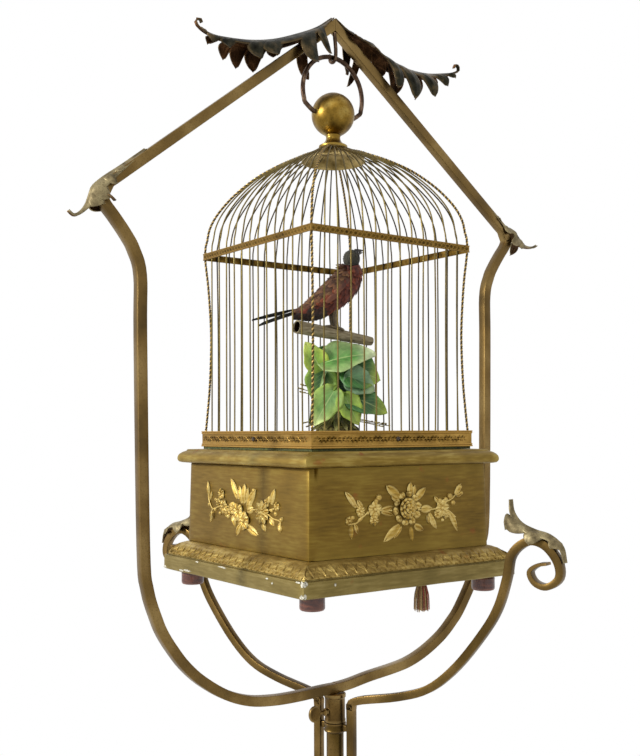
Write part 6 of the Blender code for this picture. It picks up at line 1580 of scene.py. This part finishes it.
# %% Head and beak
head = bmesh.new()
tints, _ = new_layers(head)
HEAD_MIDDLE = 188.9
skull_profile = [(0, 180.5), (8.2, 180.7)]
for i in range(15):
    turn = math.radians(-50 + 140 * i / 14)
    skull_profile.append((max(0.0, 9.2 * math.cos(turn)), HEAD_MIDDLE + 9.9 * math.sin(turn)))
join(head, turned(skull_profile, 32, (NECK_X, 0, 0)))
for vert in head.verts:
    vert[tints] = linear("#12100d" if vert.co.x > 22 and vert.co.z > 188.5 else "#35332a")
random.seed(5)
for ring in range(7):
    lean = math.radians(-28 + 15 * ring)
    around = max(5, round(15 * math.cos(lean)))
    for k in range(around):
        turn = math.tau * (k + 0.5 * (ring % 2)) / around
        looks = level(turn) * math.cos(lean) + UP * math.sin(lean)
        root = Vector((NECK_X + 9.0 * looks.x, 9.0 * looks.y, HEAD_MIDDLE + 9.6 * looks.z))
        mask = looks.x > 0.55 and looks.z > -0.2
        olive = ("#45422f", "#3a3828", "#4c4934", "#2f2d22")
        colours = ("#15130f", "#1f1c16") if mask else ("#2c2a1f", random.choice(olive))
        if looks.x < 0.86:
            flow = Vector((-1, 0, -0.35 - 0.9 * max(0.0, -looks.x)))
            along = flow - looks * flow.dot(looks)
            root -= along.normalized() * 1.2
            feather(head, root, along, looks, 4.8, 3.3, colours, seed=ring * 7 + k, lift=0.03, arch=0.3)
piece("bird_head_feathers", head, plumage, "head", on=ON_RAIL @ bird, normals=False)

# %% Beak and eyes
horn = patchy("beak_black_horn", [(0.4, "#141210"), (0.7, "#37322a")], 3, 0.6, detail=3.0)
glass_eye = patchy("eye_black_glass_bead", [(0.4, "#080706"), (0.7, "#2a1a10")], 1.5, 0.05, detail=1.0,
                   IOR=1.52, Coat_Weight=1.0)

beak_root, beak_tip = Vector((21.9, 0, 197.3)), Vector((31.7, 0, 199.0))
ridge = [beak_root.lerp(beak_tip, share) + UP * 0.2 for share in (0.35, 0.7)]
upper = tube(smooth_path([beak_root, *ridge, beak_tip], 4),
             [2.9 - 2.5 * (i / 12) ** 1.1 for i in range(13)], 16)
saw_off(upper, (0, 0, 197.28), -UP)
for side in (-1, 1):
    bead_eye = bmesh.new()
    bmesh.ops.create_uvsphere(bead_eye, u_segments=20, v_segments=14, radius=1.35)
    join(upper, bead_eye, Matrix.Translation((22.6, side * 7.3, 192.6)), slot=1)
piece("bird_beak_upper_and_eyes", upper, [horn, glass_eye], "head", "bird_head", ON_RAIL @ bird, sharp=50)

lower_path = [(26.5, 0, 195.9), (28, 0, 196), (29.6, 0, 196.5), (31.1, 0, 196.85)]
lower_sizes = [(2.0 - 1.7 * (i / 9) ** 0.9, 2.0 - 1.7 * (i / 9) ** 1.1) for i in range(10)]
lower = saw_off(tube(smooth_path(lower_path, 3), lower_sizes, 12, (0, 1, 0)), (0, 0, 196.94), UP)
piece("bird_beak_lower", lower, horn, "beak", "bird_beak", ON_RAIL @ bird, sharp=50)

# %% Forked tail
tail = bmesh.new()
tints, _ = new_layers(tail)
tail_root = Vector((-46.8, 0, 128.5))
for k in range(10):
    side = -1 if k % 2 else 1
    share = (k // 2) / 4
    along = Vector((-1, side * (0.05 + 0.06 * share), -0.24 + 0.05 * side))
    looks = Vector((-0.25, 0.95, 1))
    start = tail_root + Vector((0, side * (0.9 + 1.3 * share), 0.5 + side * (0.7 + 0.9 * share)))
    colours = ("#0c0a09", ("#151311", "#100f0d", "#1c1815")[k % 3])
    feather(tail, start, along, looks, 50.5 - 7 * (1 - share), 4.8, colours, seed=k, blunt=0.35, lift=0.0,
            arch=0.3)
tuft = smooth_path([tail_root + Vector((x, 0, z)) for x, z in ((1, 0.2), (-9, -2.2), (-18, -4.6))], 3)
join(tail, tube(tuft, [(1.9 - 0.22 * i, 3.2 - 0.35 * i) for i in range(7)], 10, (0, 1, 0)))
for vert in tail.verts:
    vert.co.z -= 3.5 * ((tail_root.x - vert.co.x) / 50) ** 2
    if Vector(vert[tints]).length < 0.02:
        vert[tints] = linear("#171412")
piece("bird_tail_forked", tail, plumage, "tail", "bird_tail", ON_RAIL @ bird, normals=False)

# %% [markdown]
# ## Start pull and its tassel
# A brass ball on a stiff wire starts the song. A short tassel is tied under it: a wound neck and a bunch
# of silk strands, most of them tan and a few red.

# %% Tassel
silk, tree, shader, place = new_material("tassel_tan_and_red_silk", "#9a7a45", 0.0, 0.6, Sheen_Weight=0.4,
                                         Sheen_Roughness=0.35)
twist = add_node(tree, "TexNoise", {"Vector": place, "Scale": per_mm(1.1), "Detail": 3.0})
shade = add_node(tree, "MapRange",
                 {"Value": twist, "From Min": 0.3, "From Max": 0.7, "To Min": 0.6, "To Max": 1.25})
plug(shader, Base_Color=tinted(tree, shade))
bump = add_node(tree, "Bump", {"Height": twist, "Strength": 0.4, "Distance": 0.2 * MM})
plug(shader, Normal=bump)

low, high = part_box("start_tassel")
tassel_top, tassel_end, tassel_half = high.z / MM, low.z / MM, (high.x - low.x) / MM / 2
STRANDS, GOLDEN_ANGLE = 64, 2.399963
tassel = bmesh.new()
new_layers(tassel)
random.seed(3)
for i in range(STRANDS):
    out = level(GOLDEN_ANGLE * i) * math.sqrt((i + 0.5) / STRANDS)
    drop = tassel_end + random.uniform(0, 3)
    route = [UP * (tassel_top - 1), out * 2.0 + UP * (tassel_top - 6),
             out * tassel_half * 0.8 + UP * ((tassel_top + drop) / 2 - 3),
             out * tassel_half * 0.9 + UP * drop]
    strand = tube(smooth_path(route, 3), 0.42, 5)
    layer = strand.verts.layers.float_color.new("tint")
    colour = linear("#8a2a1c" if i % 5 == 2 else ("#a88a55", "#8f6f3c", "#7a5c34")[i % 3])
    for vert in strand.verts:
        vert[layer] = colour
    join(tassel, strand)
NECK = [(0, 0), (2.2, 0), (2.7, 1.2), (2.3, 2), (2.7, 3), (2.2, 4.4), (2.6, 5.4), (2.1, 6.4), (0, 6.4)]
neck = turned([(radius, tassel_top - down) for radius, down in NECK], 16)
layer = neck.verts.layers.float_color.new("tint")
for vert in neck.verts:
    vert[layer] = linear("#7c5a30")
join(tassel, neck)
middle = (low + high) / MM / 2
piece("tassel_of_silk_strands", tassel, silk, "pull", "start_tassel",
      ON_FLOOR @ Matrix.Translation((middle.x, middle.y, 0)), normals=False)

# %% [markdown]
# ## Clockwork inside the base
# The movement is hidden in the case, and shows only when the bottom board is off. Its pieces stay as the
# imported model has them, and get the finishes of a plain old movement: brushed brass plates, blued and
# grey steel, kid leather bellows, and pine boards.

# %% Finishes of the hidden pieces


def movement_finish(name, tones, patch_mm, roughness, depth_mm, stretch=(1.0, 1.0, 1.0), metallic=0.0):
    """A finish in three tones whose roughness changes with them, in streaks where it is stretched."""
    stops = list(zip((0.35, 0.5, 0.68), tones))
    made = patchy(name, stops, patch_mm, roughness, (0.4, depth_mm), 6.0, stretch, Metallic=metallic)
    tree = made.node_tree
    patches = next(node for node in tree.nodes if node.type == "TEX_NOISE").outputs["Fac"]
    dull = add_node(tree, "MapRange", {"Value": patches, "From Min": 0.3, "From Max": 0.7,
                                       "To Min": roughness * 0.8, "To Max": min(1.0, roughness * 1.25)})
    plug(tree.nodes["Principled BSDF"], Roughness=dull)
    return made


movement_brass = movement_finish("movement_brushed_brass", ("#7a5c28", "#a98a45", "#c4a65c"), 6, 0.38, 0.04,
                                 (0.3, 3.0, 1.0), metallic=1.0)
movement_steel = movement_finish("movement_grey_steel", ("#4a4a4c", "#77787a", "#94969a"), 5, 0.34, 0.03,
                                 metallic=1.0)
pine_board = movement_finish("bottom_board_bare_pine", ("#7a5a34", "#a9854f", "#bf9c66"), 8, 0.7, 0.3,
                             (0.12, 3.0, 1.0))
kid_leather = movement_finish("bellows_kid_leather", ("#8a7050", "#b79a70", "#c9b088"), 3, 0.65, 0.25)
floor_cloth = movement_finish("cage_floor_olive_felt", ("#2c3018", "#454a26", "#5a6034"), 2.5, 0.95, 0.4)
KEPT = {
    "cage_floor": floor_cloth, "bottom_board": pine_board, "movement_frame": movement_brass,
    "spring_barrel": movement_brass, "camshaft": movement_steel, "fly": movement_brass,
    "bellows_chamber": kid_leather, "bellows_pump": pine_board, "bird_whistle": movement_brass,
    "whistle_piston": movement_steel, "push_rod": movement_steel, "winding_key": movement_steel,
}
for name, finish in KEPT.items():
    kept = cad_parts[name]
    for slot in kept.material_slots:
        slot.material = finish
    print("kept from the packed model:", name, "in", finish.name)

# %% [markdown]
# ## Light and backdrop
# The photograph was lit by one hard lamp far to the left and by soft light from everywhere else, in
# front of white paper. The white is the paper's own colour as the camera sees it; what the object
# gets from it is a little weaker, so that the shaded sides keep their tone.

# %% Lamps
SKY_STRENGTH = 0.66
KEY_WATTS, FILL_WATTS = 80.0, 8.0


def area_lamp(name, watts, size, azimuth, elevation, distance, aim=(0, 0, 1.1)):
    """A square lamp that looks at the aim from this direction."""
    lamp = bpy.data.objects.new(name, bpy.data.lights.new(name, "AREA"))
    lamp.data.energy, lamp.data.size = watts, size
    turn, rise = math.radians(azimuth), math.radians(elevation)
    away = level(turn) * math.cos(rise) + UP * math.sin(rise)
    lamp.location = Vector(aim) + away * distance
    lamp.rotation_euler = away.to_track_quat("Z", "Y").to_euler()
    bpy.context.scene.collection.objects.link(lamp)


def seen_directly(tree):
    """1 where the camera looks, in a mirror or through glass too, and 0 where light only falls."""
    rays = add_node(tree, "LightPath").node.outputs
    seen = add_node(tree, "Math", {0: rays["Is Camera Ray"], 1: rays["Is Glossy Ray"]}, operation="MAXIMUM")
    return add_node(tree, "Math", {0: seen, 1: rays["Is Transmission Ray"]}, operation="MAXIMUM")


area_lamp("key_lamp_left", KEY_WATTS, 0.3, 164, 17, 3.0)
area_lamp("fill_lamp_camera_side", FILL_WATTS, 1.6, 235, 42, 2.6)

world = bpy.data.worlds.new("white_paper")
bpy.context.scene.world = world
world.use_nodes = True
tree = world.node_tree
sky = tree.nodes["Background"]
power = add_node(tree, "MapRange", {"Value": seen_directly(tree), "To Min": SKY_STRENGTH, "To Max": 1.0})
plug(sky, Strength=power)
sky.inputs["Color"].default_value = linear("#ffffff")

# %% Floor
FLOOR_NEAR_MM, FLOOR_FAR_MM = 500.0, 1500.0
paper, tree, shader, place = new_material("floor_white_paper", "#ffffff", 0.0, 0.9)
reach = add_node(tree, "VectorMath", {0: place}, operation="LENGTH", out="Value")
fade = add_node(tree, "MapRange",
                {"Value": reach, "From Min": FLOOR_NEAR_MM * MM, "From Max": FLOOR_FAR_MM * MM})
white = add_node(tree, "Math", {0: fade, 1: seen_directly(tree)}, operation="MULTIPLY")
glow = add_node(tree, "Emission", {"Color": "#ffffff", "Strength": 1.0})
mixed = add_node(tree, "MixShader", {0: white, 1: shader.outputs[0], 2: glow})
plug(tree.nodes["Material Output"], Surface=mixed)

floor_bm = bmesh.new()
bmesh.ops.create_grid(floor_bm, x_segments=1, y_segments=1, size=20)
floor_mesh = bpy.data.meshes.new("floor")
floor_bm.to_mesh(floor_mesh)
floor_bm.free()
floor_mesh.materials.append(paper)
floor = bpy.data.objects.new("floor", floor_mesh)
bpy.context.scene.collection.objects.link(floor)

bpy.context.scene.view_settings.view_transform = "Standard"
